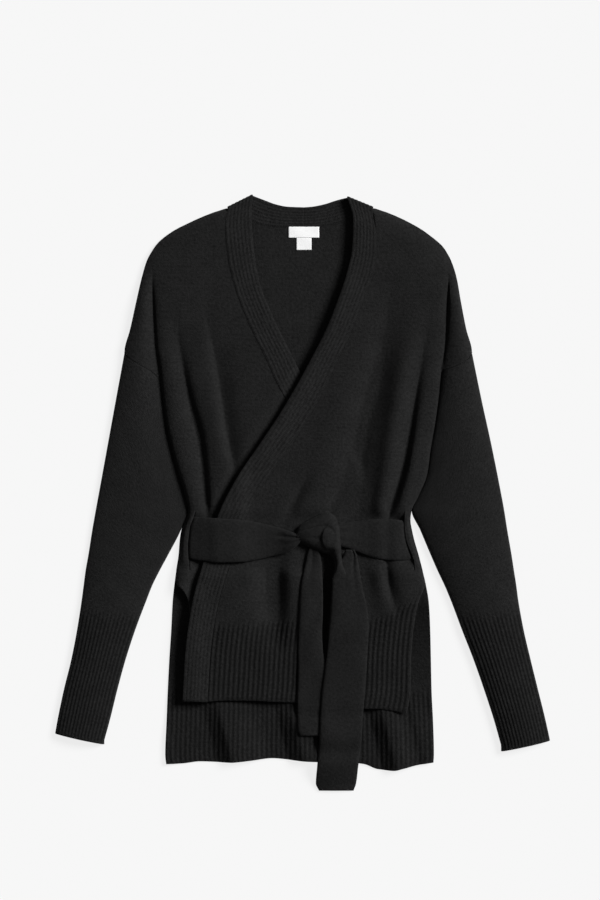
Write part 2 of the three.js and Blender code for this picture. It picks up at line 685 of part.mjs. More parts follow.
// Right front, below: it runs on under the left front to its own hidden edge
function rightFront() {
  const vent = [
    {y: -97.5, x: -161.5}, {y: -116, x: -160}, {y: -123, x: -152}, {y: -140, x: -145},
    {y: -175, x: -142}, {y: -262, x: -142},
  ];
  const from = (y) => (y > -97.5 ? rightEdge(y) : read(vent, 'x', 'y', y));
  const to = (y) => underSeam(y) - SEAM_GAP;
  const list = [...UPPER_ROWS, ...CROSSING_ROWS, ...WAIST_ROWS, -116.5, -140, -175, -220, -261];
  list.sort((a, b) => b - a);
  const {blocks, lower} = frontRows(-1, from, to, list, SLOT_X.right);
  return panel('front_right', [...blocks, lower], underLevel, cloth(underLevel), COLOURS.body);
}

// A sleeve: one flattened tube, its upper layer loose, its ribbed cuff at the end
function sleeve(name, side, arm, cuffDrop) {
  const edge = side < 0 ? 'right' : 'left';
  const seam = BODY_EDGES.filter((row) => row.y < 183 && row.y > SLOT_TOP - 1)
    .map((row) => ({x: row[edge], y: row.y}));
  const seamShares = shares(seam);
  const seamLength = lengthOf(seam);
  const chord = (outerY, innerY, share) => {
    const a = {x: read(arm, 'outer', 'y', outerY), y: outerY};
    const b = {x: read(arm, 'inner', 'y', innerY), y: innerY};
    return {x: a.x + (b.x - a.x) * share, y: a.y + (b.y - a.y) * share};
  };
  const seamY = {outer: SLEEVE_ROWS[0].outer, inner: SLEEVE_ROWS[0].inner};
  const outward = (share) => {
    const a = along(seam, clamp(share - 0.02, 0, 1));
    const b = along(seam, clamp(share + 0.02, 0, 1));
    const size = Math.hypot(b.x - a.x, b.y - a.y);
    return {x: side * (a.y - b.y) / size, y: side * (b.x - a.x) / size};
  };
  const rows = SLEEVE_ROWS.map((row, r) => {
    const last = SLEEVE_ROWS.length - 1;
    const drop = cuffDrop * Math.max(0, (r - 7) / (last - 7));
    const bend = Math.max(0, 1 - r / 5) ** 2;
    return (share) => {
      const straight = chord(row.outer - drop, row.inner - drop, share);
      const curve = along(seam, share);
      const base = chord(seamY.outer, seamY.inner, share);
      const clear = r === 0 ? 1.5 * SEAM_GAP : 0;
      const away = outward(share);
      return {
        x: straight.x + (curve.x - base.x) * bend + away.x * clear,
        y: straight.y + (curve.y - base.y) * bend + away.y * clear,
      };
    };
  });
  const inset = CLOTH;
  const rings = rows.map((place, r) => {
    const ribbed = r >= 7;
    const even = (count) => Array.from({length: count + 1}, (_, i) => i / count);
    const upperShares = r === 0 ? seamShares : even(ribbed ? CUFF_RIBS * 2 : 10);
    const lowerShares = r === 0 ? seamShares : even(5);
    const a = place(0);
    const b = place(1);
    const width = r === 0 ? seamLength : Math.hypot(b.x - a.x, b.y - a.y);
    const upper = [];
    const lower = [];
    const innerUpper = [];
    const innerLower = [];
    upperShares.forEach((share, i) => {
      const end = i === 0 || i === upperShares.length - 1;
      const p = place(share);
      const level = looseLevel(side, p.x, p.y);
      const rib = ribbed && i % 2 === 1 ? RIB_RISE : 0;
      upper.push({x: p.x, y: p.y, z: end ? REST : level + CLOTH + rib});
      const q = place(clamp(share, inset / width, 1 - inset / width));
      innerUpper.push({x: q.x, y: q.y, z: end ? REST - 0.1 : looseLevel(side, q.x, q.y)});
    });
    lowerShares.forEach((share, i) => {
      const end = i === 0 || i === lowerShares.length - 1;
      const edge = 1.5 / width;
      const p = place(end ? share : clamp(share, edge, 1 - edge));
      lower.push({x: p.x, y: p.y, z: end ? REST : 0});
      const q = place(clamp(share, inset / width, 1 - inset / width));
      innerLower.push({x: q.x, y: q.y, z: end ? REST - 0.1 : CLOTH});
    });
    return {upper, lower, innerUpper, innerLower};
  });
  const faces = [];
  const add = (first, second, flip) => {
    const part = [];
    zip(first, second, part);
    faces.push(...part.map((f) => (flip ? [f[2], f[1], f[0]] : f)));
  };
  const turn = side > 0;
  for (let r = 1; r < rings.length; r += 1) {
    add(rings[r - 1].upper, rings[r].upper, turn);
    add(rings[r - 1].lower, rings[r].lower, !turn);
    add(rings[r - 1].innerUpper, rings[r].innerUpper, !turn);
    add(rings[r - 1].innerLower, rings[r].innerLower, turn);
  }
  const top = rings[0];
  const cuff = rings[rings.length - 1];
  add(top.innerUpper, top.upper, turn);
  add(top.innerLower, top.lower, !turn);
  add(cuff.upper, cuff.innerUpper, turn);
  add(cuff.lower, cuff.innerLower, !turn);
  return solid(name, faces, COLOURS.sleeve);
}

// Half of the neck band: flat behind the neck, folded over the shoulder, down one front
function band(name, side, front, level) {
  const back = BACK_NECK.filter((row) => side * row.freeX > 3);
  const half = side < 0 ? back.reverse() : back;
  const centre = LABEL.x + side * SEAM_GAP / 2;
  const middle = {freeX: centre, freeY: 366.7, seamX: centre, seamY: 341.1};
  const path = [middle, ...half.slice(0, -1)];
  const fold = half[half.length - 1];
  const thick = cloth(level);
  const rows = path.map((row) => ({row, skin: () => 0, inner: () => CLOTH, up: -1}));
  rows.push({row: fold, push: 0, skin: () => 0.5, inner: () => CLOTH, up: 0, inset: 2});
  rows.push({row: fold, push: 0.5, skin: () => 2.4, inner: () => 2.4, up: 0, inset: 2.4});
  rows.push({row: fold, push: 0, skin: () => 4.3, inner: () => REST, up: 0, inset: 2});
  for (const row of front.slice(1)) {
    rows.push({
      row, skin: (x, y) => level(x, y) + thick(x, y), inner: (x, y) => level(x, y), up: 1,
    });
  }
  const columns = BAND_RIBS * 2;
  const skins = [];
  const inners = [];
  rows.forEach(({row, push = 0, inset = 0, skin, inner, up}) => {
    const skinRow = [];
    const innerRow = [];
    const lean = Math.atan2(row.seamY - row.freeY, row.seamX - row.freeX);
    const out = {x: -Math.sin(lean) * side, y: Math.cos(lean) * side};
    for (let i = 0; i <= columns; i += 1) {
      const t = i / columns;
      const x = row.freeX + (row.seamX - row.freeX) * t;
      const y = row.freeY + (row.seamY - row.freeY) * t;
      const rib = i % 2 === 1 ? BAND_RIB_RISE : 0;
      const s = {x: x + out.x * push, y: y + out.y * push};
      const n = {x: x - out.x * inset, y: y - out.y * inset};
      skinRow.push({...s, z: skin(s.x, s.y) + (up > 0 ? rib : 0)});
      innerRow.push({...n, z: inner(n.x, n.y) + (up < 0 ? rib : 0)});
    }
    skins.push(skinRow);
    inners.push(innerRow);
  });
  const upper = [];
  const lower = [];
  for (let r = 1; r < rows.length; r += 1) {
    for (let i = 0; i < columns; i += 1) {
      for (const [grid, list] of [[skins, upper], [inners, lower]]) {
        const [a, b, c, d] = [grid[r - 1][i], grid[r - 1][i + 1], grid[r][i + 1], grid[r][i]];
        if (side > 0) list.push([a, d, c], [a, c, b]);
        else list.push([a, c, d], [a, b, c]);
      }
    }
  }
  return solid(name, wallBetween(upper, lower), COLOURS.trim);
}

// Lowest level over which a strip may pass, eased so that it never turns sharply
function drape(stations, under, slope) {
  const step = stations[1] - stations[0];
  const nearby = [-1, -0.5, 0, 0.5, 1];
  const raw = stations.map((s) => Math.max(...nearby.map((k) => under(s + k * step))));
  return stations.map((s) => {
    let best = -Infinity;
    stations.forEach((other, k) => {
      best = Math.max(best, raw[k] - slope * Math.abs(other - s));
    });
    return best;
  });
}

const evenly = (from, to, count) => (
  Array.from({length: count + 1}, (_, i) => from + (to - from) * i / count));

// A belt stretch from rows of cross lines, each with its level and its thickness
function strip(name, lines, columns, colour) {
  const high = [];
  const low = [];
  for (let r = 1; r < lines.length; r += 1) {
    for (let i = 0; i < columns; i += 1) {
      const corner = (line, k, upper) => {
        const t = k / columns;
        const crown = BELT_CROWN * (1 - (2 * t - 1) ** 4);
        const x = line.a.x + (line.b.x - line.a.x) * t;
        const y = line.a.y + (line.b.y - line.a.y) * t;
        const pleat = (line.pleat ?? 0) * (k % 2 === 1 ? 1 : 0);
        return {x, y, z: line.level + (upper ? BELT_RISE + crown + pleat : 0)};
      };
      for (const [upper, list] of [[true, high], [false, low]]) {
        const a = corner(lines[r - 1], i, upper);
        const b = corner(lines[r - 1], i + 1, upper);
        const c = corner(lines[r], i + 1, upper);
        const d = corner(lines[r], i, upper);
        list.push([a, b, c], [a, c, d]);
      }
    }
  }
  return solid(name, wallBetween(high, low), colour);
}

// What lies under a point of the belt
function support(x, y) {
  let top = 0;
  if (y > backHem(x) - 4 && x > rightEdge(y) && x < leftEdge(y)) {
    top = CLOTH + (y < BACK_RIB_TOP ? RIB_RISE : 0);
  }
  if (y < frontHem(x) - 4) return top;
  const hemRib = y < HEM_RIB_TOP + 8 ? RIB_RISE : 0;
  if (x > overFree(y) - 3) return overTop(x, y) + Math.max(BAND_RIB_RISE, hemRib);
  return underTop(x, y);
}

// One visible stretch of the belt, from its slit to the knot
function beltRun(name, side, table) {
  const slot = side < 0 ? SLOT_X.right : SLOT_X.left;
  const stations = table.map((row) => row.x);
  const inside = side < 0 ? KNOT[0].x - 3 : KNOT[KNOT.length - 1].x + 3;
  const fine = evenly(stations[0], stations[stations.length - 1], 22);
  const levels = drape(fine, (x) => {
    const past = side * (x - slot);
    if (past > -3) return BELT_END_LEVEL;
    const across = evenly(read(table, 'bottom', 'x', x), read(table, 'top', 'x', x), 8);
    const top = Math.max(...across.map((y) => support(x, y)));
    const knotFloor = side * (x - inside) < 0 ? CLOTH + LAYER_GAP + 1 : 0;
    return top + LAYER_GAP + knotFloor;
  }, BELT_SLOPE);
  const lines = fine.map((x, k) => ({
    a: {x, y: read(table, 'top', 'x', x)},
    b: {x, y: read(table, 'bottom', 'x', x)},
    level: levels[k],
    pleat: 0.9 * (1 - smooth(side * (x - inside), 0, 30)),
  }));
  return strip(name, lines, BELT_COLUMNS, COLOURS.belt);
}

// The knot: a flattened loop of belt, open at both ends, around the two runs
function knot(floorLevel, innerHigh) {
  const around = 18;
  const faces = [];
  const rings = KNOT.map((row) => {
    const middle = (row.top + row.bottom) / 2;
    const half = (row.top - row.bottom) / 2;
    const swell = half / 29.5;
    const high = innerHigh * (0.62 + 0.38 * swell);
    const ring = (inset) => {
      const points = [];
      for (let k = 0; k < around; k += 1) {
        const angle = (k / around) * Math.PI * 2;
        const c = Math.cos(angle);
        const s = Math.sin(angle);
        const flatC = Math.sign(c) * Math.abs(c) ** 0.75;
        const flatS = Math.sign(s) * Math.abs(s) ** 0.55;
        const y = middle + (half - inset) * flatC;
        const base = floorLevel + inset;
        const peak = floorLevel + high + 2 * CLOTH - inset;
        const crease = s > 0 ? 1.6 * Math.exp(-(((y - middle) / half + 0.2) ** 2) / 0.02) : 0;
        const z = (base + peak) / 2 + (peak - base) / 2 * flatS - (inset > 0 ? 0 : crease);
        points.push({x: row.x, y, z});
      }
      return points;
    };
    return {outer: ring(0), inner: ring(CLOTH)};
  });
  const quad = (a, b, c, d) => faces.push([c, b, a], [d, c, a]);
  for (let k = 0; k < around; k += 1) {
    const n = (k + 1) % around;
    for (let r = 1; r < rings.length; r += 1) {
      const [p, q] = [rings[r - 1], rings[r]];
      quad(p.outer[k], q.outer[k], q.outer[n], p.outer[n]);
      quad(p.inner[n], q.inner[n], q.inner[k], p.inner[k]);
    }
    const [first, last] = [rings[0], rings[rings.length - 1]];
    quad(first.outer[k], first.outer[n], first.inner[n], first.inner[k]);
    quad(last.outer[n], last.outer[k], last.inner[k], last.inner[n]);
  }
  return solid('belt_knot', faces, COLOURS.belt);
}

// One hanging end of the belt, draped from the knot over what lies below
function tail(name, table, under) {
  const top = table[0].y;
  const end = table[table.length - 1].y;
  const count = Math.round((top - end) / 14);
  const fine = evenly(top, end, count);
  const levels = drape(fine, (y) => {
    const across = evenly(read(table, 'from', 'y', y), read(table, 'to', 'y', y), 8);
    const high = Math.max(...across.map((x) => Math.max(support(x, y), under(x, y))));
    const lift = TAIL_LIFT * (1 - smooth(top - y, 0, 26));
    return high > 0 ? high + LAYER_GAP + lift : 0;
  }, TAIL_SLOPE);
  const lines = fine.map((y, k) => ({
    a: {x: read(table, 'from', 'y', y), y},
    b: {x: read(table, 'to', 'y', y), y},
    level: levels[k],
    pleat: 0.7 * (1 - smooth(top - y, 0, 40)),
  }));
  const levelAt = (y) => {
    const k = clamp((top - y) / (top - end) * count, 0, count);
    const low = Math.floor(k);
    return Math.max(levels[low], levels[Math.min(count, low + 1)]);
  };
  return {mesh: strip(name, [...lines].reverse(), BELT_COLUMNS, COLOURS.belt), levelAt};
}

// A small woven plate inside the neck
function plate(name, size, top, level) {
  const geometry = new THREE.BoxGeometry(size.wide, size.high, size.thick);
  const material = new THREE.MeshStandardMaterial({
    color: COLOURS.label, roughness: 0.8, metalness: 0,
  });
  const mesh = new THREE.Mesh(geometry, material);
  mesh.name = name;
  mesh.position.set(size.x, top - size.high / 2, level + size.thick / 2);
  return mesh;
}

const cardigan = new THREE.Group();
cardigan.name = 'wrap_cardigan';

const knotBase = LAYER_GAP + Math.max(...KNOT.map((row) => (
  Math.max(...evenly(row.bottom, row.top, 8).map((y) => support(row.x, y))))));

const shortTail = tail('belt_tail_short', SHORT_TAIL, () => 0);
const shortTop = (x, y) => {
  const covered = y < SHORT_TAIL[0].y && y > SHORT_TAIL[SHORT_TAIL.length - 1].y - 6
    && x > read(SHORT_TAIL, 'from', 'y', y) - 3 && x < read(SHORT_TAIL, 'to', 'y', y) + 3;
  return covered ? shortTail.levelAt(y) + BELT_THICK + 0.7 : 0;
};
const longTail = tail('belt_tail_long', LONG_TAIL, shortTop);

cardigan.add(
  backPanel(),
  rightFront(),
  leftFront(),
  sleeve('sleeve_right', -1, RIGHT_ARM, 0),
  sleeve('sleeve_left', 1, LEFT_ARM, CUFF_DROP),
  band('neckband_right', -1, UNDER_BAND, underLevel),
  band('neckband_left', 1, OVER_BAND, overLevel),
  beltRun('belt_run_right', -1, BELT_RIGHT),
  beltRun('belt_run_left', 1, BELT_LEFT),
  knot(knotBase, KNOT_HOLLOW),
  shortTail.mesh,
  longTail.mesh,
  plate('neck_label', LABEL, LABEL.top - SEAM_GAP, CLOTH + SEAM_GAP),
  plate('size_tab', SIZE_TAB, LABEL.top - LABEL.high - 2 * SEAM_GAP, CLOTH + SEAM_GAP),
);

// The origin lies under the middle of the outline, on the floor
const middle = new THREE.Box3().setFromObject(cardigan).getCenter(new THREE.Vector3());
cardigan.position.set(-middle.x, -middle.y, 0);

export default cardigan;
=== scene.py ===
import math

import bpy
import numpy as np
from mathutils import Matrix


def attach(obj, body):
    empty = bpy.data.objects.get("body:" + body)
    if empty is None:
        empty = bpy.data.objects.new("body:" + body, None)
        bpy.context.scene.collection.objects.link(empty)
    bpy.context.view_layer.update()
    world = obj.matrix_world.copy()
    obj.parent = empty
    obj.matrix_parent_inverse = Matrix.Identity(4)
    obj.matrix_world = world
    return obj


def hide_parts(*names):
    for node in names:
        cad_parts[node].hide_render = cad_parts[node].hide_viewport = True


# A black wrap cardigan laid flat on a pale floor, front upwards, neck towards +Y.
# Lengths are in millimetres in the part's drawing frame, and become metres in the meshes.

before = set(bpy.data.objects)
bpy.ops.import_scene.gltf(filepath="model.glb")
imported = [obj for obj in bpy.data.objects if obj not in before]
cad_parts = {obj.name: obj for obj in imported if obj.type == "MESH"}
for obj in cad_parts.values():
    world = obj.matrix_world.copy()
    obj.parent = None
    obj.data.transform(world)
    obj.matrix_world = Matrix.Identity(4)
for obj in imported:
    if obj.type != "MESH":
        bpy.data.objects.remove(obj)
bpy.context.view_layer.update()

MM = 0.001
# The drawing's zero in the part's frame
ORIGIN = (-0.1, -1.2)
# Thickness of the cloth, of the neck band and of the doubled belt
CLOTH = 2.2
BAND_CLOTH = 2.6
BELT_THICK = 2.8
# Underside of an upper layer at its lowest
REST = 2.6
# How far the loose body and the sleeves stand above that, and how soon the body does
BODY_LOFT = 9.0
SLEEVE_CROWN = 11.0
CUFF_CROWN = 9.0
CREASE_REACH = 4.0
# Power of each sleeve's flank beside the body: hollow above one, full below it
INNER_FLANK = {-1: 1.3, 1: 0.62}
# Roll of the left front's free edge, and rise of the side strips over the belt's ends
EDGE_ROLL = 5.0
STRIP_RISE = 5.8
# Underside of the right front where the left one hides it, and of the left one there
HIDDEN_LEVEL = 3.6
OVER_LEVEL = 6.6
# Ribs across each piece, and mesh columns across each rib
HEM_RIBS = 41
BACK_RIBS = 56
CUFF_RIBS = 15
BAND_RIBS = 7
RIB_COLUMNS = 6
# Places down the garment: shoulder, neck seam, armhole, slits for the belt, ribs and hems
SHOULDER_TOP = 365
NECK_JOIN = 341.5
SLEEVE_TOP = 182
SLIT_TOP = -20.5
SLIT_MIDDLE = -58
SLIT_END = -97.5
BACK_RIB_TOP = -250
RIGHT_HEM = -261
LEFT_HEM = -264
BACK_HEM = -340
# Width of the neck band, and how far a seam's edges pass under each other
BAND_WIDE = 32
SEAM_TUCK = 0.5
# Mesh column of each front that runs down the slit
SLIT_COLUMN = {-1: 11, 1: 231}


def table(names, rows):
    """Named columns from rows of numbers."""
    return {name: np.array(column, float) for name, column in zip(names.split(), zip(*rows))}


# Side edges of the body, from the shoulder to the back hem
BODY_EDGES = table("y right left", [
    (365, -98, 93),
    (361, -110.5, 105),
    (353.5, -130, 123.5),
    (345.5, -147.5, 139.5),
    (338, -162.5, 152.5),
    (330, -174.5, 163.5),
    (322.5, -183.5, 173),
    (315, -189.5, 180.5),
    (307, -194.5, 185.5),
    (299.5, -198.5, 189.5),
    (276.5, -205.5, 197),
    (248.5, -212, 202),
    (210, -220.5, 209.5),
    (182, -227.5, 216.5),
    (174, -222, 213),
    (165, -207.5, 199),
    (156, -192.5, 177.5),
    (146, -183.5, 176.5),
    (120.5, -178.5, 174),
    (88.5, -174, 169.5),
    (56.5, -167, 164),
    (24.5, -158, 159.5),
    (-1.5, -150, 149),
    (-20.5, -146, 139.5),
    (-33.5, -150, 138),
    (-46, -155, 140),
    (-59, -157, 143),
    (-78, -158.5, 148.5),
    (-97.5, -161.5, 153.5),
    (-116.5, -164, 158),
    (-135.5, -166, 161),
    (-174, -168, 163),
    (-212.5, -170.5, 164),
    (-251, -172.5, 165),
    (-289.5, -174, 167),
    (-327.5, -175.5, 168),
    (-345.5, -173.5, 167),
])
# Edges of the right sleeve
RIGHT_ARM = table("y outer inner", [
    (182, -227.5, -185),
    (114, -240, -178),
    (75.5, -247, -171.5),
    (37, -254, -162),
    (-1.5, -261, -150),
    (-20.5, -264.5, -146),
    (-46, -269, -155.5),
    (-78, -274, -172),
    (-97.5, -277.5, -182.5),
    (-116.5, -280, -192),
    (-135.5, -282.5, -199.5),
    (-174, -288.5, -214),
    (-212.5, -296, -226.5),
    (-251, -305.5, -237),
    (-289.5, -313.5, -246.5),
    (-315, -318, -253.5),
])
# Edges of the left sleeve
LEFT_ARM = table("y outer inner", [
    (182, 216.5, 183.5),
    (114, 230.5, 173),
    (75.5, 239, 167.5),
    (37, 247, 162),
    (-1.5, 254.5, 149),
    (-20.5, 258, 139.5),
    (-46, 262, 150.5),
    (-78, 267.5, 164),
    (-97.5, 270.5, 172.5),
    (-116.5, 273.5, 181.5),
    (-135.5, 276, 189.5),
    (-174, 283, 204),
    (-212.5, 292, 219),
    (-251, 301.5, 232.5),
    (-289.5, 311, 245),
    (-321.5, 318, 254),
])
# Place down the garment of each sleeve section, on its outer and inner edge
SLEEVE_ROWS = table("outer inner", [
    (182, -20.5),
    (141, -24.5),
    (100, -33.5),
    (56.5, -48.5),
    (13, -66.5),
    (-36, -87),
    (-87, -115),
    (-141, -150),
    (-182, -192),
    (-222.5, -235.5),
    (-263.5, -279),
    (-306, -320),
])
# Deep crease between body and sleeve
ARM_CREASE = table("y right left", [
    (273.9, -191.4, 186.9),
    (261.1, -191.1, 186.2),
    (194.6, -187.5, 183),
    (154.9, -182.4, 177.9),
    (120.3, -178.6, 174.1),
    (88.3, -174.1, 169.6),
    (56.3, -167, 163.8),
    (24.3, -158.1, 159.4),
    (-1.3, -149.8, 149.1),
    (-20.5, -145.9, 139.5),
])
# Band of the left front, from the shoulder to the hem: its free edge and its seam
OVER_BAND = table("free_x free_y seam_x seam_y", [
    (57, 378.9, 90.2, 365.4),
    (64.6, 350.7, 93.8, 335.4),
    (63.4, 314.9, 94.1, 312.3),
    (55.7, 279, 90.2, 284.2),
    (45.4, 248.3, 78.7, 252.2),
    (30.1, 209.9, 62.1, 208.6),
    (14.7, 179.2, 44.2, 170.2),
    (-3.2, 145.9, 25, 129.3),
    (-28.8, 102.4, -0.6, 84.5),
    (-54.4, 64, -27.5, 44.8),
    (-85.1, 17.9, -57, 1.3),
    (-108.2, -28.2, -77.4, -41),
    (-127.4, -89.6, -95.4, -97.3),
    (-140.2, -138.2, -108.2, -143.4),
    (-149.1, -199.7, -117.1, -202.2),
    (-153, -263.7, -121, -265),
])
# Band of the right front, which lies below
UNDER_BAND = table("free_x free_y seam_x seam_y", [
    (-63.4, 381.4, -95.4, 365.4),
    (-65.3, 355.8, -97.9, 337.9),
    (-62.1, 312.3, -94.1, 299.5),
    (-54.4, 268.8, -85.1, 262.4),
    (-41.6, 235.5, -72.3, 227.8),
    (-28.8, 207.4, -58.2, 197.1),
    (-16, 181.8, -44.2, 169),
    (-5.8, 161.3, -33.9, 144.6),
    (25, 105, -3.2, 89.6),
    (55.7, 53.8, 27.5, 41),
    (78.7, 5.1, 48, -2.6),
    (91.5, -46.1, 59.5, -51.2),
    (100.5, -97.3, 68.5, -99.8),
    (106.9, -138.2, 74.9, -140.8),
    (109.4, -199.7, 77.4, -199.7),
    (109.4, -261.1, 77.4, -261.1),
])
# Back neck band, from the right shoulder to the left
BACK_NECK = table("free_x free_y seam_x seam_y", [
    (-63.5, 381.5, -95.5, 365.5),
    (-57, 379, -72.5, 353.5),
    (-46.5, 375, -54.5, 345.5),
    (-34, 370.5, -36.5, 342.5),
    (-18.5, 367.5, -18.5, 341.5),
    (-2, 366.5, -2, 341),
    (12, 367.5, 12, 341.5),
    (27.5, 370.5, 30, 343.5),
    (41.5, 375, 48, 348),
    (50.5, 377.5, 66, 354.5),
    (57, 379, 90, 365.5),
])
# Hems of the left front and of the back
HEMS = table("x front back", [
    (-176, -263.5, -345.5),
    (-153, -263.5, -344.5),
    (-131, -265, -342),
    (-99, -263.5, -343),
    (-67, -263.5, -340.5),
    (-39, -265, -338),
    (-8.5, -266, -340.5),
    (22.5, -269, -342),
    (54.5, -271.5, -343),
    (78.5, -274, -345.5),
    (96.5, -274, -352),
    (114.5, -276.5, -353.5),
    (128.5, -279, -350.5),
    (144, -279, -347),
    (168.5, -279, -343),
])
# Line at which the ribs of the front hem begin
RIB_TOP = table("x y", [
    (-156.8, -163.8),
    (-80, -161.3),
    (-3.2, -158.7),
    (60.8, -158.7),
    (105.6, -151),
    (131.2, -135.7),
    (150.4, -125.4),
])
# Right run of the belt: top and bottom edge
BELT_RIGHT = table("x top bottom", [
    (-151.7, -33.3, -74.2),
    (-146.6, -29.4, -81.3),
    (-141.4, -28.8, -83.2),
    (-124.8, -29.4, -85.1),
    (-105.6, -30.7, -87),
    (-72.3, -33.3, -85.8),
    (-57, -36.1, -83.6),
    (-41.6, -39.7, -80),
    (-25.6, -43.5, -76.5),
    (-16, -47.1, -72.1),
    (-7, -49.9, -65.7),
    (-0.6, -52.5, -60.2),
    (7, -51.2, -61.4),
])
# Left run of the belt
BELT_LEFT = table("x top bottom", [
    (25, -42.2, -62.7),
    (44.2, -39, -66.6),
    (54.4, -37.1, -68.9),
    (60.8, -35.8, -70.9),
    (73.6, -33.7, -75.5),
    (86.4, -32.3, -79.7),
    (102.4, -31.6, -83.2),
    (115.2, -31.9, -84.5),
    (126.1, -33.3, -84.5),
    (135, -35.2, -84.5),
    (144, -42.2, -81.9),
])
# Slits beside the side seams, through which the belt comes out
SLITS = table("y right left", [
    (-17.9, -135, 129.3),
    (-30.7, -139.5, 129.3),
    (-41, -143.4, 129.4),
    (-53.8, -145.3, 130.7),
    (-66.6, -146.3, 134.4),
    (-79.4, -145.8, 139.8),
    (-88.3, -144.6, 142.1),
    (-99.8, -144, 142.7),
])
# The knot: outer and inner edge from the pinch over the top and down to the twist
KNOT = table("outer_x outer_y inner_x inner_y", [
    (-7.6, -49.3, -7, -57.6),
    (-4.5, -42.2, -3.5, -60.2),
    (1.9, -37.1, 2.6, -63.7),
    (10.9, -32.6, 9, -66.3),
    (19.2, -28.2, 15.4, -68.9),
    (26.2, -24.8, 21.1, -71.7),
    (32.6, -23, 26.9, -74.2),
    (39, -26.9, 32, -75.5),
    (43.9, -34.6, 35.2, -76.2),
    (46.5, -44.8, 37.2, -78.1),
    (47.7, -58.9, 39, -81.3),
    (48.5, -70.4, 40.6, -84.5),
    (49, -79.4, 41.6, -88.3),
    (50.3, -88.3, 41.3, -94.7),
    (54.4, -98.6, 39.3, -103),
    (60.8, -112.6, 37.5, -113.9),
])
# Side edges of the belt's long tail
LONG_TAIL = table("y from to", [
    (-70.4, 54.4, 65.9),
    (-78.1, 51.8, 69.5),
    (-85.8, 46.1, 70.8),
    (-93.4, 41.6, 71.9),
    (-101.1, 39, 73.2),
    (-121.6, 36.9, 76.8),
    (-148.5, 35.2, 82.6),
    (-174.1, 33.3, 83.8),
    (-199.7, 31.4, 82.6),
    (-225.3, 28.2, 81.3),
    (-250.9, 25, 79.4),
    (-276.5, 23, 77.4),
    (-314.9, 21.1, 74.9),
    (-346.9, 18.6, 71),
    (-369.9, 17, 68.5),
    (-379.5, 21.1, 65.3),
])
# Side edges of its short tail
SHORT_TAIL = table("y from to", [
    (-66.6, 9, 18.6),
    (-74.2, 6.1, 21.8),
    (-84.5, 4, 24.1),
    (-97.3, 1.3, 25),
    (-113.3, -1.7, 25.6),
    (-129.3, -3.2, 26),
    (-148.5, -4.2, 26),
    (-174.1, -5.1, 25),
    (-199.7, -5.8, 26.2),
    (-227.8, -5.8, 33.9),
    (-263.7, -6.7, 37.8),
    (-299.5, -6.3, 40.3),
    (-307.8, -3.2, 37.8),
])
# Folds of the right front: four points down each, rise, and width of its right and left flank
RIGHT_FOLDS = table("x1 y1 x2 y2 x3 y3 x4 y4 rise left right", [
    (-178.6, 248.3, -167, 145.9, -155.5, 69.1, -140.2, -21.8, 1.5, 11.5, 15.4),
    (-141.4, 267.5, -122.2, 158.7, -109.4, 81.9, -94.1, -14.1, 2.5, 11.5, 11.5),
    (-167, 248.3, -144, 120.3, -131.2, 69.1, -121, -25.6, -12, 7.0, 5.8),
    (-127.4, 258.6, -106.9, 145.9, -95.4, 69.1, -80, 5.1, -9, 4.5, 12.8),
])
# Folds of the left front
LEFT_FOLDS = table("x1 y1 x2 y2 x3 y3 x4 y4 rise left right", [
    (160.6, 248.3, 150.4, 158.7, 141.4, 69.1, 129.9, -15.4, 2.5, 9.0, 9.0),
    (150.4, 267.5, 129.9, 171.5, 113.3, 69.1, 100.5, -14.1, 8, 11.5, 12.8),
    (105.6, 248.3, 71, 158.7, 42.9, 81.9, 7, -7.7, 2.5, 20.5, 20.5),
    (122.2, 305.9, 97.9, 171.5, 72.3, 69.1, 60.8, -23, -13, 14.1, 16),
    (163.2, 248.3, 144, 120.3, 129.9, 35.8, 109.4, -30.7, -12, 7.7, 5.8),
    (63.4, 30.7, 54.4, 12.8, 46.7, -2.6, 35.2, -28.2, -6, 7.7, 6.4),
    (14.7, 41, 0.6, 11.5, -9.6, -7.7, -25, -38.4, -7, 6.4, 7.7),
])
# Folds of the left front below the belt
SKIRT_FOLDS = table("x1 y1 x2 y2 x3 y3 x4 y4 rise left right", [
    (-73.6, -74.2, -73.6, -116.5, -73.6, -161.3, -73.6, -212.5, 6, 43.5, 19.2),
    (-39, -66.6, -37.8, -110.1, -35.2, -148.5, -31.4, -199.7, -13, 11.5, 10.2),
    (-13.4, -66.6, -13.4, -110.1, -13.4, -148.5, -13.4, -199.7, 9, 10.2, 17.9),
    (31.4, -71.7, 31.4, -110.1, 30.1, -148.5, 30.1, -199.7, -8, 6.4, 6.4),
    (72.3, -79.4, 74.9, -103.7, 78.7, -129.3, 86.4, -167.7, -9, 10.2, 11.5),
    (95.4, -79.4, 99.2, -103.7, 104.3, -129.3, 110.7, -167.7, 3, 7.7, 7.7),
    (106.9, -75.5, 108.2, -106.2, 112, -126.7, 121, -153.6, -10, 4.5, 5.8),
    (131.2, -84.5, 133.8, -110.1, 133.8, -135.7, 129.9, -186.9, 3, 15.4, 15.4),
])
# Height of the back's waves along its hem
BACK_WAVE = table("x rise", [
    (-176, 3),
    (-167, 1.2),
    (-144, 0.6),
    (-122.2, 0),
    (-109.4, 5),
    (-97.9, 11),
    (-89, 10.6),
    (-72.3, 7),
    (-57, 2),
    (-46.7, 0.3),
    (-30.1, 0.5),
    (-18.6, 5.5),
    (-5.8, 11),
    (4.5, 10.6),
    (21.1, 6),
    (36.5, 3),
    (68.5, 0.6),
    (87.7, 0.4),
    (99.2, 5.5),
    (109.4, 10.8),
    (118.4, 10),
    (129.9, 5.6),
    (138.9, 3.4),
    (147.8, 4.6),
    (156.8, 4),
    (167, 2.6),
])


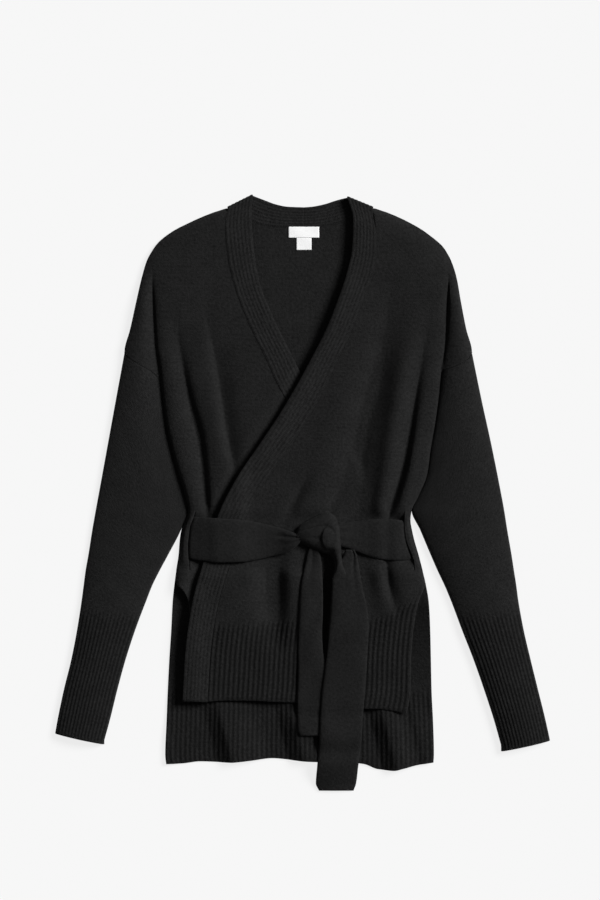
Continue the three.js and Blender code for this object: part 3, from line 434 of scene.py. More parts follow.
def smooth(value, start, end):
    """Zero before the start, one after the end, and an eased step between."""
    t = np.clip((value - start) / (end - start), 0, 1)
    return t * t * (3 - 2 * t)


def curve(keys, values):
    """A smooth line through table values that adds no wiggle between them."""
    order = np.argsort(keys)
    k = np.asarray(keys, float)[order]
    v = np.asarray(values, float)[order]
    step = np.diff(k)
    slope = np.diff(v) / step
    tangent = np.zeros_like(k)
    before, after = slope[:-1], slope[1:]
    same = before * after > 0
    heavy = 2 * step[1:] + step[:-1]
    light = step[1:] + 2 * step[:-1]
    tangent[1:-1][same] = ((heavy + light)[same]
                           / (heavy[same] / before[same] + light[same] / after[same]))
    tangent[0], tangent[-1] = slope[0], slope[-1]

    def at(where):
        x = np.clip(where, k[0], k[-1])
        i = np.clip(np.searchsorted(k, x) - 1, 0, len(k) - 2)
        h = step[i]
        t = (x - k[i]) / h
        return (v[i] * (1 + 2 * t) * (1 - t) ** 2 + tangent[i] * h * t * (1 - t) ** 2
                + v[i + 1] * t * t * (3 - 2 * t) - tangent[i + 1] * h * t * t * (1 - t))

    return at


right_edge = curve(BODY_EDGES["y"], BODY_EDGES["right"])
left_edge = curve(BODY_EDGES["y"], BODY_EDGES["left"])
ARMS = {-1: RIGHT_ARM, 1: LEFT_ARM}
arm_outer = {side: curve(arm["y"], arm["outer"]) for side, arm in ARMS.items()}
arm_inner = {side: curve(arm["y"], arm["inner"]) for side, arm in ARMS.items()}
arm_crease = {-1: curve(ARM_CREASE["y"], ARM_CREASE["right"]),
              1: curve(ARM_CREASE["y"], ARM_CREASE["left"])}
over_free = curve(OVER_BAND["free_y"], OVER_BAND["free_x"])
over_seam = curve(OVER_BAND["seam_y"], OVER_BAND["seam_x"])
under_free = curve(UNDER_BAND["free_y"], UNDER_BAND["free_x"])
under_seam = curve(UNDER_BAND["seam_y"], UNDER_BAND["seam_x"])
front_hem = curve(HEMS["x"], HEMS["front"])
back_hem = curve(HEMS["x"], HEMS["back"])
rib_top = curve(RIB_TOP["x"], RIB_TOP["y"])
slit_line = {-1: curve(SLITS["y"], SLITS["right"]), 1: curve(SLITS["y"], SLITS["left"])}
back_rise = curve(BACK_WAVE["x"], BACK_WAVE["rise"])
# Edge of each front along its side vent
vent_edge = {-1: curve([-60, -97.5, -116, -123, -140, -175, -262],
                       [-157, -161.5, -160, -152, -145, -142, -142]),
             1: curve([-60, -97.5, -116.5, -122, -136, -161, -200, -238, -279],
                      [143, 153.5, 156, 154, 148, 142.5, 138.5, 137.5, 129])}
# How steeply the back rises outside the left vent
flank_slope = curve([-300, -286, -262, -238, -200, -161, -144, -132, -120],
                    [0, 0, 0.09, 0.18, 0.3, 0.46, 0.58, 0.44, 0])


def body_edge(side, y):
    """Side edge of the body: right for -1, left for 1."""
    return right_edge(y) if side < 0 else left_edge(y)


def outer_line(side, y):
    """Outermost line of the cloth: the shoulder first, then the sleeve."""
    return np.where(y < SLEEVE_TOP, arm_outer[side](y), body_edge(side, y))


def front_side(side, y):
    """Outer edge of a front: the side seam down to the slit's end, then the vent."""
    return np.where(y > SLIT_END, body_edge(side, y), vent_edge[side](y))


def back_wave(x, y):
    """Soft waves of the back's lowest part, a little slanted, and its lifted left edge."""
    flank = flank_slope(y) * np.clip(x - vent_edge[1](y), 0, None)
    return smooth(-y, 235, 305) * back_rise(x + 0.25 * (y + 300)) + flank


def sleeve_level(side, x, y):
    """Height of the underside of a sleeve's upper layer."""
    outer = outer_line(side, y)
    inner = np.where(y > SLIT_TOP, arm_crease[side](y), arm_inner[side](y))
    share = np.clip((x - outer) / (inner - outer), 0, 1)
    crown = SLEEVE_CROWN + (CUFF_CROWN - SLEEVE_CROWN) * smooth(-y, 60, 220)
    flank = np.where(share < 0.5, 0.7, 0.7 + (INNER_FLANK[side] - 0.7) * smooth(y, -40, 10))
    return REST + crown * np.clip(4 * share * (1 - share), 0, 1) ** flank


def body_level(side, x, y):
    """Height of a front's underside before its folds: a crease, then the loose body."""
    crease = np.where(y > SLIT_TOP, arm_crease[side](y), body_edge(side, y))
    inside = side * (crease - x)
    loft = BODY_LOFT * (1 - 0.22 * smooth(-y, 190, 262)) * (0.5 + 0.5 * belt_press(y))
    body = REST + loft * (1 - np.exp(-np.clip(inside, 0, None) / CREASE_REACH))
    creased = np.where(inside > 0, body, sleeve_level(side, x, y))
    from_outer = np.clip(side * (outer_line(side, y) - x), 0, None)
    plain = REST + loft * (1 - np.exp(-from_outer / 14))
    depth = 1 - smooth(y, 236, 292)
    return plain + (creased - plain) * depth


def fold_height(folds, x, y, strength, widen):
    """Sum of the folds at a point; a fold's strength and width change along its line."""
    total = np.zeros(np.broadcast(x, y).shape)
    for i in range(len(folds["rise"])):
        fold = {name: column[i] for name, column in folds.items()}
        length = fold["y1"] - fold["y4"]
        middle = curve([fold["y4"], fold["y3"], fold["y2"], fold["y1"]],
                       [fold["x4"], fold["x3"], fold["x2"], fold["x1"]])(y)
        across = (x - middle) * length / math.hypot(length, fold["x1"] - fold["x4"])
        along = (fold["y1"] - y) / length
        flank = np.where(across < 0, fold["left"], fold["right"]) * widen(along)
        power = 2 if fold["rise"] > 0 else 1.6
        total += fold["rise"] * strength(along) * np.exp(-np.abs(across / flank) ** power)
    return total


def front_folds(folds, x, y):
    """Folds that gather towards the belt: soft above, deep and narrow where it holds them."""
    return fold_height(folds, x, y,
                       lambda along: smooth(along, 0, 0.6) * (1 - smooth(along, 1.0, 1.16)),
                       lambda along: 1.4 - 0.5 * np.clip(along, 0, 1))


def skirt_folds(x, y):
    """Folds that hang from the belt: full height under it, flat again in the hem."""
    return fold_height(SKIRT_FOLDS, x, y,
                       lambda along: smooth(along, -0.3, 0) * (1 - smooth(along, 0.3, 1.25)),
                       lambda along: 1 + 0.6 * np.clip(along, 0, 1))


def belt_press(y):
    """The belt presses the folds down."""
    return 1 - 0.6 * smooth(y, -106, -88) * (1 - smooth(y, -34, -18))


def by_slit(side, x, y):
    """One beside the slit where the belt comes out, on the body's side of it."""
    inside = side * (slit_line[side](y) - x)
    return (1 - smooth(inside, 8, 26)) * (1 - smooth(np.abs(y - SLIT_MIDDLE), 20, 36))


def strip_lift(side, x, y):
    """The narrow side strips pass over the ends of the belt."""
    slit = slit_line[side](y)
    reach = np.abs(body_edge(side, y) - slit)
    out = side * (x - slit)
    below_top = 1 - smooth(y, SLIT_TOP - 13, SLIT_TOP - 1.5)
    high = smooth(y, SLIT_END + 1.5, SLIT_END + 17) * below_top
    return STRIP_RISE * high * (1 - smooth(out, 0.4 * reach, reach))


def settle(level):
    """Keeps a level off what lies below it, softly."""
    soft = 1.2
    over = (level - REST) / soft
    return REST + soft * np.where(over > 12, over, np.log1p(np.exp(np.clip(over, -30, 12))))


def slack(x, y):
    """Faint unevenness of hand-laid knitwear."""
    return (0.5 * np.sin(x / 19 + y / 47) * np.cos(y / 31 - x / 83)
            + 0.35 * np.sin(x / 11 - y / 23 + 2))


def under_level(x, y):
    """Height of the right front's underside."""
    visible = smooth(over_free(y) - x, 2, 20)
    folds = front_folds(RIGHT_FOLDS, x, y) * belt_press(y) + slack(x, y)
    loose = settle(body_level(-1, x, y) + folds) - REST
    level = REST + loose * (1 - by_slit(-1, x, y))
    vent = 6 * smooth(-y, 112, 140) * smooth(-x, 116, 140)
    return HIDDEN_LEVEL + (level - HIDDEN_LEVEL) * visible + vent


def over_level(x, y):
    """Height of the left front's underside: over the right front, its free edge rolled up."""
    folds = front_folds(LEFT_FOLDS, x, y) + skirt_folds(x, y)
    loose = settle(body_level(1, x, y) + folds * belt_press(y) + slack(x, y)) - REST
    level = REST + loose * (1 - by_slit(1, x, y))
    overlap = smooth(under_free(y) + 12 - x, 0, 12) * (y < 185)
    floor = REST + (OVER_LEVEL - REST) * overlap
    level = np.maximum(level, floor) + 1.2 * np.exp(-np.abs(level - floor) / 2.5) * overlap
    inside = np.clip(x - over_free(y), 0, None)
    roll = EDGE_ROLL * np.exp(-(inside / 26) ** 2) * smooth(y, -4, 60)
    roll = roll * (1 - smooth(y, 225, 310))
    press = 5 * smooth(-x, 60, 84) * smooth(y, -70, -30) * (1 - smooth(y, 30, 90))
    vent = 4 * smooth(-y, 105, 135) * (1 - smooth(x, -140, -112))
    return level + roll + press + vent


# Cloth shells

class Patch:
    """One block of a panel: rows run from the neck down, columns from the right to the left."""

    def __init__(self, x, y, low, high, rib=None, share=None):
        self.x, self.y, self.low, self.high = np.broadcast_arrays(x, y, low, high)
        zero = np.zeros(self.x.shape)
        self.rib = zero if rib is None else np.broadcast_to(rib, zero.shape)
        self.share = zero if share is None else np.broadcast_to(share, zero.shape)


def quads_of(rows, columns, base=0):
    """Quads between the neighbouring rows and columns of a block of points."""
    index = base + np.arange(rows * columns).reshape(rows, columns)
    return np.stack([index[:-1, :-1], index[1:, :-1], index[1:, 1:], index[:-1, 1:]],
                    axis=-1).reshape(-1, 4)


def free_edges(quads):
    """Directed edges of the quads that no other quad shares."""
    edges = np.concatenate([quads[:, [0, 1]], quads[:, [1, 2]], quads[:, [2, 3]],
                            quads[:, [3, 0]]])
    edges = edges[edges[:, 0] != edges[:, 1]]
    forward = edges[:, 0].astype(np.int64) * 10_000_000 + edges[:, 1]
    backward = edges[:, 1].astype(np.int64) * 10_000_000 + edges[:, 0]
    return edges[~np.isin(forward, backward)]


def in_scene(name, data):
    """An object for a mesh, a lamp or a camera, linked to the scene."""
    thing = bpy.data.objects.new(name, data)
    bpy.context.scene.collection.objects.link(thing)
    return thing


def in_metres(points):
    """Points of the drawing as metres in the part's frame."""
    return (np.asarray(points, float) + np.array([*ORIGIN, 0])) * MM


def make_mesh(name, points, faces, rib=None, share=None, uv=None):
    """A mesh object from millimetre points, with the attributes that its ribs and yarn read."""
    mesh = bpy.data.meshes.new(name)
    mesh.from_pydata(in_metres(points).tolist(), [], faces)
    mesh.validate()
    count = len(points)
    for key, values in (("rib", rib), ("rib_share", share)):
        layer = mesh.attributes.new(key, "FLOAT", "POINT")
        layer.data.foreach_set("value", np.zeros(count) if values is None else values)
    flat = points[:, :2] * MM if uv is None else uv
    layer = mesh.uv_layers.new(name="Cloth")
    corner = np.empty(len(mesh.loops), int)
    mesh.loops.foreach_get("vertex_index", corner)
    layer.data.foreach_set("uv", flat[corner].astype(np.float32).ravel())
    mesh.polygons.foreach_set("use_smooth", np.ones(len(mesh.polygons), bool))
    mesh.update()
    return in_scene(name, mesh)


def panel(name, patches, under_rib=0.0):
    """Closes patches into one shell: upper face, underside, and a rounded edge all round."""
    quads, base = [], 0
    for patch in patches:
        quads.append(quads_of(*patch.x.shape, base))
        base += patch.x.size
    quads = np.concatenate(quads)
    columns = [np.concatenate([getattr(patch, key).ravel() for patch in patches])
               for key in ("x", "y", "low", "high", "rib", "share")]
    x, y, low, high, rib, share = columns
    _, first, same = np.unique(np.round(np.stack([x, y, high], 1), 2), axis=0,
                               return_index=True, return_inverse=True)
    same = same.ravel()
    quads = same[quads]
    x, y, low, high, rib, share = (column[first] for column in columns)
    rim = free_edges(quads)
    count = len(x)
    outward = np.zeros((count, 2))
    along = np.stack([x, y], 1)[rim[:, 1]] - np.stack([x, y], 1)[rim[:, 0]]
    side = np.stack([along[:, 1], -along[:, 0]], 1)
    side /= np.maximum(np.linalg.norm(side, axis=1, keepdims=True), 1e-9)
    np.add.at(outward, rim[:, 0], side)
    np.add.at(outward, rim[:, 1], side)
    outward /= np.maximum(np.linalg.norm(outward, axis=1, keepdims=True), 0.1)
    on_rim = np.zeros(count, bool)
    on_rim[rim.ravel()] = True
    thick = high - low
    inset = np.where(on_rim, 0.25 * np.minimum(thick, 3), 0)
    drop = np.where(on_rim, 0.16 * thick, 0)
    top = np.stack([x - outward[:, 0] * inset, y - outward[:, 1] * inset, high - drop], 1)
    bottom = np.stack([x - outward[:, 0] * inset, y - outward[:, 1] * inset, low + drop], 1)
    rim_points = np.flatnonzero(on_rim)
    rim_id = np.full(count, -1)
    rim_id[rim_points] = 2 * count + np.arange(len(rim_points))
    middle = np.stack([x, y, (low + high) / 2], 1)[rim_points]
    points = np.concatenate([top, bottom, middle])
    wall_top = np.stack([rim[:, 1], rim[:, 0], rim_id[rim[:, 0]], rim_id[rim[:, 1]]], 1)
    wall_low = np.stack([rim_id[rim[:, 1]], rim_id[rim[:, 0]], rim[:, 0] + count,
                         rim[:, 1] + count], 1)
    faces = np.concatenate([quads, quads[:, ::-1] + count, wall_top, wall_low])
    keep = []
    for face in faces.tolist():
        ring = [p for k, p in enumerate(face) if p != face[k - 1]]
        if len(set(ring)) > 2:
            keep.append(ring)
    share = np.where(on_rim, 0, share)
    ribs = np.concatenate([rib, rib + 0.5, np.zeros(len(rim_points))])
    shares = np.concatenate([share, -under_rib * share, np.zeros(len(rim_points))])
    return make_mesh(name, points, keep, ribs, shares)


def near_slit(y):
    """One along the slit, where the columns of a front are drawn to its line."""
    return smooth(y, -150, -110) * (1 - smooth(y, -8, 40))


def grid(from_x, to_x, ys, columns, side=None):
    """Even columns between two edges, drawn to the slit on that side of a front."""
    u = np.linspace(0, 1, columns + 1)[None, :]
    a, b = from_x(ys)[:, None], to_x(ys)[:, None]
    x = a + (b - a) * u
    if side is not None:
        u_slit = SLIT_COLUMN[side] / columns
        line = slit_line[side](ys)[:, None]
        before = a + (line - a) * u / u_slit
        after = line + (b - line) * (u - u_slit) / (1 - u_slit)
        drawn = np.where(u < u_slit, before, after)
        x = x + (drawn - x) * near_slit(ys)[:, None]
    return x, np.broadcast_to(ys[:, None], x.shape)


def cloth_top(level, x, y):
    """Upper face of cloth on a level, thicker where the cloth is steep."""
    slope_x = (level(x + 1, y) - level(x - 1, y)) / 2
    slope_y = (level(x, y + 1) - level(x, y - 1)) / 2
    return level(x, y) + CLOTH * np.clip(np.sqrt(1 + slope_x ** 2 + slope_y ** 2), 1, 1.5)


def steps(start, end, size):
    """Even places from start to end, about one size apart."""
    return np.linspace(start, end, max(2, int(round(abs(end - start) / size)) + 1))


# Rows of both fronts down to the end of the slit, close together beside the armhole
FRONT_ROWS = np.concatenate([steps(SHOULDER_TOP, 188, 4.8), steps(188, 140, 1.2)[1:],
                             steps(140, SLIT_TOP, 4.8)[1:], steps(SLIT_TOP, SLIT_END, 3)[1:]])


def rib_fade(y, top, bottom):
    """Ribs begin over a short way and stop at the bound edge."""
    return smooth(top - y, -4, 14) * smooth(y - bottom, 1.5, 3.5)


def slit_patches(level, side, x, y, rib, share):
    """Splits a panel's grid along its slit, the outer strip lifted over the belt's end."""
    rows = np.flatnonzero((y[:, 0] <= SLIT_TOP) & (y[:, 0] >= SLIT_END))
    first, last = rows[0], rows[-1]

    def patch(r0, r1, c0, c1, strip):
        """The part between two rows and two columns; a strip is lifted."""
        part = (slice(r0, r1 + 1), slice(c0, c1 + 1))
        px, py = x[part], y[part]
        lift = strip_lift(side, px, py) if strip else 0
        return Patch(px, py, level(px, py) + lift, cloth_top(level, px, py) + lift, rib[part],
                     share[part])

    slit, end = SLIT_COLUMN[side], x.shape[1] - 1
    outer = (slit, end) if side > 0 else (0, slit)
    inner = (0, slit) if side > 0 else (slit, end)
    return [patch(0, first, 0, end, False), patch(first, last, *inner, False),
            patch(first, last, *outer, True), patch(last, len(y) - 1, 0, end, False)]


def left_front():
    """The front on top: ribs run up from its hem to a line that slants at the side."""
    columns = HEM_RIBS * RIB_COLUMNS
    ys = np.concatenate([FRONT_ROWS, steps(SLIT_END, LEFT_HEM, 3.2)[1:]])
    x, y = grid(lambda y: over_seam(y) - SEAM_TUCK, lambda y: front_side(1, y), ys, columns, 1)
    y = y + (front_hem(x) - LEFT_HEM) * smooth(-y, 110, -LEFT_HEM)
    rib = np.broadcast_to(np.linspace(0, HEM_RIBS, columns + 1), x.shape)
    share = rib_fade(y, rib_top(x), front_hem(x))
    return panel("left_front", slit_patches(over_level, 1, x, y, rib, share))


def right_front():
    """The front below, plain where the other hides it."""
    ys = np.concatenate([FRONT_ROWS, steps(SLIT_END, RIGHT_HEM, 4)[1:]])
    x, y = grid(lambda y: front_side(-1, y), lambda y: under_seam(y) + SEAM_TUCK, ys, 170, -1)
    plain = np.zeros(x.shape)
    return panel("right_front", slit_patches(under_level, -1, x, y, plain, plain))


def back_panel():
    """The whole back: a shoulder on each side of the neck, then one block to the hem."""
    columns = BACK_RIBS * RIB_COLUMNS
    neck_column = {-1: 152, 1: 187}
    right, left = right_edge(NECK_JOIN), left_edge(NECK_JOIN)

    def block(x, y, rib=None, share=None):
        """Cloth of even thickness on the back's waves."""
        low = back_wave(x, y)
        return Patch(x, y, low, low + CLOTH, rib, share)

    def shoulder(side):
        """The part beside the neck, down to the neck seam's lowest place."""
        half = BACK_NECK["seam_x"] * side > 15
        foot = right + (left - right) * neck_column[side] / columns
        neck = curve(np.append(BACK_NECK["seam_y"][half] + SEAM_TUCK, NECK_JOIN),
                     np.append(BACK_NECK["seam_x"][half], foot))
        ys = steps(SHOULDER_TOP - 2, NECK_JOIN, 2)
        if side < 0:
            return block(*grid(right_edge, neck, ys, neck_column[side]))
        return block(*grid(neck, left_edge, ys, columns - neck_column[side]))

    ys = np.concatenate([steps(NECK_JOIN, BACK_RIB_TOP, 7),
                         steps(BACK_RIB_TOP, BACK_HEM, 3)[1:]])
    x, y = grid(right_edge, left_edge, ys, columns)
    y = y + (back_hem(x) - BACK_HEM) * smooth(-y, 180, -BACK_HEM)
    rib = np.broadcast_to(np.linspace(0, BACK_RIBS, columns + 1), x.shape)
    main = block(x, y, rib, rib_fade(y, BACK_RIB_TOP, back_hem(x)))
    return panel("back_panel", [shoulder(-1), shoulder(1), main], under_rib=0.4)


def line_lengths(points):
    """Length along a line of points, up to each of them."""
    return np.concatenate([[0], np.cumsum(np.linalg.norm(np.diff(points, axis=0), axis=1))])


def rounding(from_side):
    """Zero at the side of a flattened tube, one where its roundness ends, 3 mm from there."""
    return np.sqrt(1 - (1 - np.clip(from_side / 3, 0, 1)) ** 2)


def tube_faces(rows, around, side):
    """Faces of a tube of cloth: its outside, its inside, and a rim at each end."""
    count = rows * around
    index = np.arange(count).reshape(rows, around)
    turn = np.roll(index, -1, 1)
    outside = np.stack([index[:-1], index[1:], turn[1:], turn[:-1]], -1).reshape(-1, 4)
    ends = [np.stack([index[0], turn[0], turn[0] + count, index[0] + count], 1),
            np.stack([turn[-1], index[-1], index[-1] + count, turn[-1] + count], 1)]
    faces = np.concatenate([outside, outside[:, ::-1] + count, *ends])
    return faces[:, ::-1] if side > 0 else faces


def sleeve(name, side, cuff_drop):
    """A flattened tube from the armhole seam to its ribbed cuff."""
    rows, upper, lower = 170, 90, 30
    side_height = 1.6
    ys = np.linspace(SLEEVE_TOP, SLIT_TOP, 160)
    seam = np.stack([body_edge(side, ys), ys], 1)
    seam_at = line_lengths(seam)
    seam_at = seam_at / seam_at[-1]
    # t counts the table's sections down the sleeve, and the cuff begins at the seventh
    sections = np.arange(len(SLEEVE_ROWS["outer"]))
    t = np.linspace(0, sections[-1], rows)
    drop = cuff_drop * np.clip((t - 7) / 4, 0, None)
    outer_y = curve(sections, SLEEVE_ROWS["outer"])(t) - drop
    inner_y = curve(sections, SLEEVE_ROWS["inner"])(t) - drop
    bend = np.clip(1 - t / 5, 0, None)[:, None] ** 2

    def place(share):
        """Points across the tube, bent to the armhole seam at its upper end."""
        a = np.stack([arm_outer[side](outer_y), outer_y], 1)[:, None, :]
        b = np.stack([arm_inner[side](inner_y), inner_y], 1)[:, None, :]
        straight = a + (b - a) * share[..., None]
        curve_x = np.interp(share, seam_at, seam[:, 0])
        curve_y = np.interp(share, seam_at, seam[:, 1])
        base = a[0, 0] + (b[0, 0] - a[0, 0]) * share[..., None]
        away = np.stack([curve_x, curve_y], -1) - base
        return straight + away * bend[..., None]

    widths = np.linalg.norm(np.stack([arm_outer[side](outer_y) - arm_inner[side](inner_y),
                                      outer_y - inner_y], 1), axis=1)
    rings = []
    for inner in (False, True):
        inset = (CLOTH if inner else 0) / widths[:, None]
        share_up = inset + (1 - 2 * inset) * np.linspace(0, 1, upper + 1)[None, :]
        share_low = inset + (1 - 2 * inset) * np.linspace(1, 0, lower + 1)[None, 1:-1]
        up, low = place(share_up), place(share_low)
        level = sleeve_level(side, up[..., 0], up[..., 1])
        rise = rounding(np.minimum(share_up - inset, 1 - inset - share_up) * widths[:, None])
        if inner:
            z_up = REST + (level - REST) * rise
            z_low = np.full(low.shape[:2], CLOTH)
        else:
            z_up = side_height + (level + CLOTH - side_height) * rise
            fall = rounding(np.minimum(share_low, 1 - share_low) * widths[:, None])
            z_low = side_height * (1 - fall)
        rings.append(np.concatenate([np.concatenate([up, z_up[..., None]], 2),
                                     np.concatenate([low, z_low[..., None]], 2)], 1))
    faces = tube_faces(rows, upper + lower, side)
    points = np.concatenate([ring.reshape(-1, 3) for ring in rings])
    shape = rings[0].shape[:2]
    on_cuff = smooth(t[:, None], 6.9, 7.5) * (1 - smooth(t[:, None], 10.9, 10.97))
    phase = np.concatenate([np.linspace(0, CUFF_RIBS, upper + 1),
                            np.linspace(CUFF_RIBS, 0, lower + 1)[1:-1]])[None, :]
    on_top = np.concatenate([np.ones(upper + 1), np.zeros(lower - 1)])[None, :]
    share = np.broadcast_to(on_cuff * on_top, shape).ravel()
    rib = np.broadcast_to(phase, shape).ravel()
    plain = np.zeros(len(rib))
    length = line_lengths(np.stack([arm_outer[side](outer_y), outer_y], 1))[:, None]
    wide = np.concatenate([np.linspace(0, 1, upper + 1), 1 + np.linspace(0, 1, lower + 1)[1:-1]])
    flat = np.stack([wide[None, :] * widths[:, None], np.broadcast_to(-length, shape)], -1)
    flat = flat.reshape(-1, 2) * MM
    return make_mesh(name, points, faces.tolist(), np.concatenate([rib, plain]),
                     np.concatenate([share, plain]), np.concatenate([flat, flat]))


def band(name, side, front, level, curl):
    """Half of the neck band: flat behind the neck, folded over the shoulder, down one front."""
    half = BACK_NECK["free_x"] * side > 3
    middle_x = 1.8 - side * SEAM_TUCK / 2
    middle = {"free_x": middle_x, "free_y": 366.7, "seam_x": middle_x, "seam_y": 341.1}
    back = {key: np.append(middle[key], column[half][::side])
            for key, column in BACK_NECK.items()}
    across = BAND_RIBS * RIB_COLUMNS
    t = np.linspace(0, 1, across + 1)[None, :]

    def drawn(rows, fine):
        """Points from the free edge to the seam, at fine places along the table's rows."""
        knots = np.arange(len(rows["free_x"]))
        edge = {key: curve(knots, column)(fine)[:, None] for key, column in rows.items()}
        return (edge["free_x"] + (edge["seam_x"] - edge["free_x"]) * t,
                edge["free_y"] + (edge["seam_y"] - edge["free_y"]) * t)

    back_x, back_y = drawn(back, np.linspace(0, len(back["free_x"]) - 1, 70))
    front_x, front_y = drawn(front, np.concatenate([
        np.linspace(0, 1, 14)[1:], np.linspace(1, len(front["free_x"]) - 1, 230)[1:]]))
    turns = 9
    turn = np.repeat(np.linspace(-0.5 * np.pi, 0.5 * np.pi, turns)[:, None], across + 1, axis=1)
    fold_x, fold_y = (np.repeat(line[-1:], turns, axis=0) for line in (back_x, back_y))
    lean = math.atan2(fold_y[0, -1] - fold_y[0, 0], fold_x[0, -1] - fold_x[0, 0])
    out_x, out_y = -math.sin(lean) * side, math.cos(lean) * side
    fold_low = float(np.median(level(front_x[0], front_y[0])))
    half_fold = (fold_low + BAND_CLOTH) / 2
    ease = smooth(np.arange(len(front_x)), 0, 14)[:, None]
    low_front = fold_low + (level(front_x, front_y) - fold_low) * ease
    hang = curl(front_y[:, :1]) * ease * np.exp(-(t * BAND_WIDE / 3.4) ** 2)
    bulge = 1.4 * np.cos(turn)

    def face(x, y, z):
        """One face of the band: behind the neck, round the fold, down the front."""
        return np.stack([np.concatenate(stretches) for stretches in (x, y, z)], -1)

    skin = face([back_x, fold_x + out_x * bulge, front_x],
                [back_y, fold_y + out_y * bulge, front_y],
                [np.zeros(back_x.shape), half_fold * (1 + np.sin(turn)),
                 low_front + BAND_CLOTH - 0.3 * hang])
    inner = face([back_x, fold_x - 2 * out_x, front_x], [back_y, fold_y - 2 * out_y, front_y],
                 [np.full(back_x.shape, CLOTH), half_fold + 0.8 * np.sin(turn),
                  low_front - hang])
    count = skin.shape[0] * skin.shape[1]
    quads = quads_of(*skin.shape[:2])
    if side < 0:
        quads = quads[:, ::-1]
    rim = free_edges(quads)
    walls = np.stack([rim[:, 1], rim[:, 0], rim[:, 0] + count, rim[:, 1] + count], 1)
    faces = np.concatenate([quads, quads[:, ::-1] + count, walls])
    points = np.concatenate([skin.reshape(-1, 3), inner.reshape(-1, 3)])
    shape = skin.shape[:2]
    rib = np.broadcast_to(t * BAND_RIBS, shape)
    # Behind the neck the band lies with its inner face up, so the ribs are raised on that
    inside = np.ones(shape)
    inside[:, [0, -1]] = 0
    inside[[0, -1], :] = 0
    behind = np.zeros(shape)
    behind[:len(back_x)] = 1
    shares = np.concatenate([(inside * (1 - behind)).ravel(), (inside * behind).ravel()])
    length = line_lengths(skin[:, across // 2, :])[:, None]
    flat = np.stack([np.broadcast_to(t * BAND_WIDE, shape), np.broadcast_to(length, shape)],
                    -1).reshape(-1, 2) * MM
    return make_mesh(name, points, faces.tolist(), np.tile(rib.ravel(), 2), shares,
                     np.tile(flat, (2, 1)))


# Belt

def cloth_under(x, y):
    """Top of the cloth that a stretch of belt or a tail lies on."""
    ribbed = 0.8 * smooth(rib_top(x) + 12 - y, 0, 30)
    over = over_level(x, y) + BAND_CLOTH + ribbed
    under = under_level(x, y) + CLOTH + 0.4
    front = np.where(x > over_free(y) - 3, over, under)
    back = back_wave(x, y) + CLOTH + 0.8 * smooth(BACK_RIB_TOP + 12 - y, 0, 30)
    on_back = y > back_hem(x) - 5
    return np.where(y > front_hem(x) - 4, front, np.where(on_back, back, 0))


def drape(at, under, slope, soft=6.0):
    """Lowest line over what lies below with no turn steeper than the slope, then eased."""
    reach = np.abs(at[:, None] - at[None, :])
    line = np.max(under[None, :] - slope * reach, axis=1)
    weight = np.exp(-(reach / soft) ** 2)
    return weight @ line / weight.sum(axis=1)


def rounded(t, sharp):
    """One in the middle of a strip, falling to its two edges."""
    return np.clip(1 - np.abs(2 * t - 1) ** sharp, 0.02, 1) ** 0.5


def belt_run(name, side, edges, pleats):
    """A stretch of belt from under the side strip, along the slit's own line, to the knot."""
    x = steps(edges["x"][0], edges["x"][-1], 1.3)
    top, bottom = curve(edges["x"], edges["top"]), curve(edges["x"], edges["bottom"])
    t = np.linspace(0, 1, 45)[:, None]
    y = top(x) + (bottom(x) - top(x)) * t
    under = np.max(cloth_under(x[None, :] + 0 * t, y), axis=0)
    slit_x = slit_line[side](SLIT_MIDDLE)
    under = np.where(side * (x - slit_x) > -4, REST + CLOTH + 0.3, under)
    level = drape(x, under, slope=0.42)
    end = slit_line[side](top(slit_x) * (1 - t) + bottom(slit_x) * t) + side * 3.5
    knot_x = edges["x"][-1] if side < 0 else edges["x"][0]
    from_slit = np.linspace(0, 1, len(x))
    along = end + (knot_x - end) * (from_slit if side < 0 else 1 - from_slit)
    y = top(along) + (bottom(along) - top(along)) * t
    near = 1 - smooth(np.abs(along - knot_x), 6, 62)
    tucked = 1 - smooth(np.abs(along - end), 3, 7)
    thick = BELT_THICK * rounded(t, 10) * (1 - 0.5 * tucked)
    middle = np.interp(along, x, level) + 0.5 * BELT_THICK * (1 - 0.5 * tucked)
    gather = sum(depth * np.exp(-((t - at) / width) ** 2) for at, width, depth in pleats)
    crown = 1.2 * rounded(t, 3) * (1 - tucked)
    crown = crown + near * (5.5 * rounded(t, 2.2) - gather)
    low = middle - 0.5 * thick
    high = middle + 0.5 * thick + crown
    return panel(name, [Patch(along, y, low, high)])


def tail(name, edges, under, rolls):
    """A hanging end of the belt: gathered at the knot, flat and square at its own end."""
    y = steps(edges["y"][0], edges["y"][-1], 1.3)
    left = curve(edges["y"], edges["from"])(y)
    right = curve(edges["y"], edges["to"])(y)
    t = np.linspace(0, 1, 41)[None, :]
    x = left[:, None] + (right - left)[:, None] * t
    yy = y[:, None] + 0 * t
    below = np.maximum(np.max(cloth_under(x, yy), axis=1), under(y))
    level = drape(-y, below, slope=0.45)
    near = (1 - smooth(edges["y"][0] - y, 10, 75))[:, None]
    thick = BELT_THICK * rounded(t, 10)
    gather = sum(depth * np.exp(-((t - at) / width) ** 2) for at, width, depth in rolls)
    crown = 1.3 * rounded(t, 3) + near * (2 * rounded(t, 2.2) - gather)
    crown = crown + 0.9 * np.sin(yy / 29 + 3 * t) * rounded(t, 2.5)
    crown = crown + 0.5 * np.sin(yy / 13 - 5 * t + 1) * rounded(t, 2.5)
    middle = level[:, None] + 0.5 * BELT_THICK
    low, high = middle - 0.5 * thick, middle + 0.5 * thick + crown
    return panel(name, [Patch(x, yy, low, high)]), (y, level)


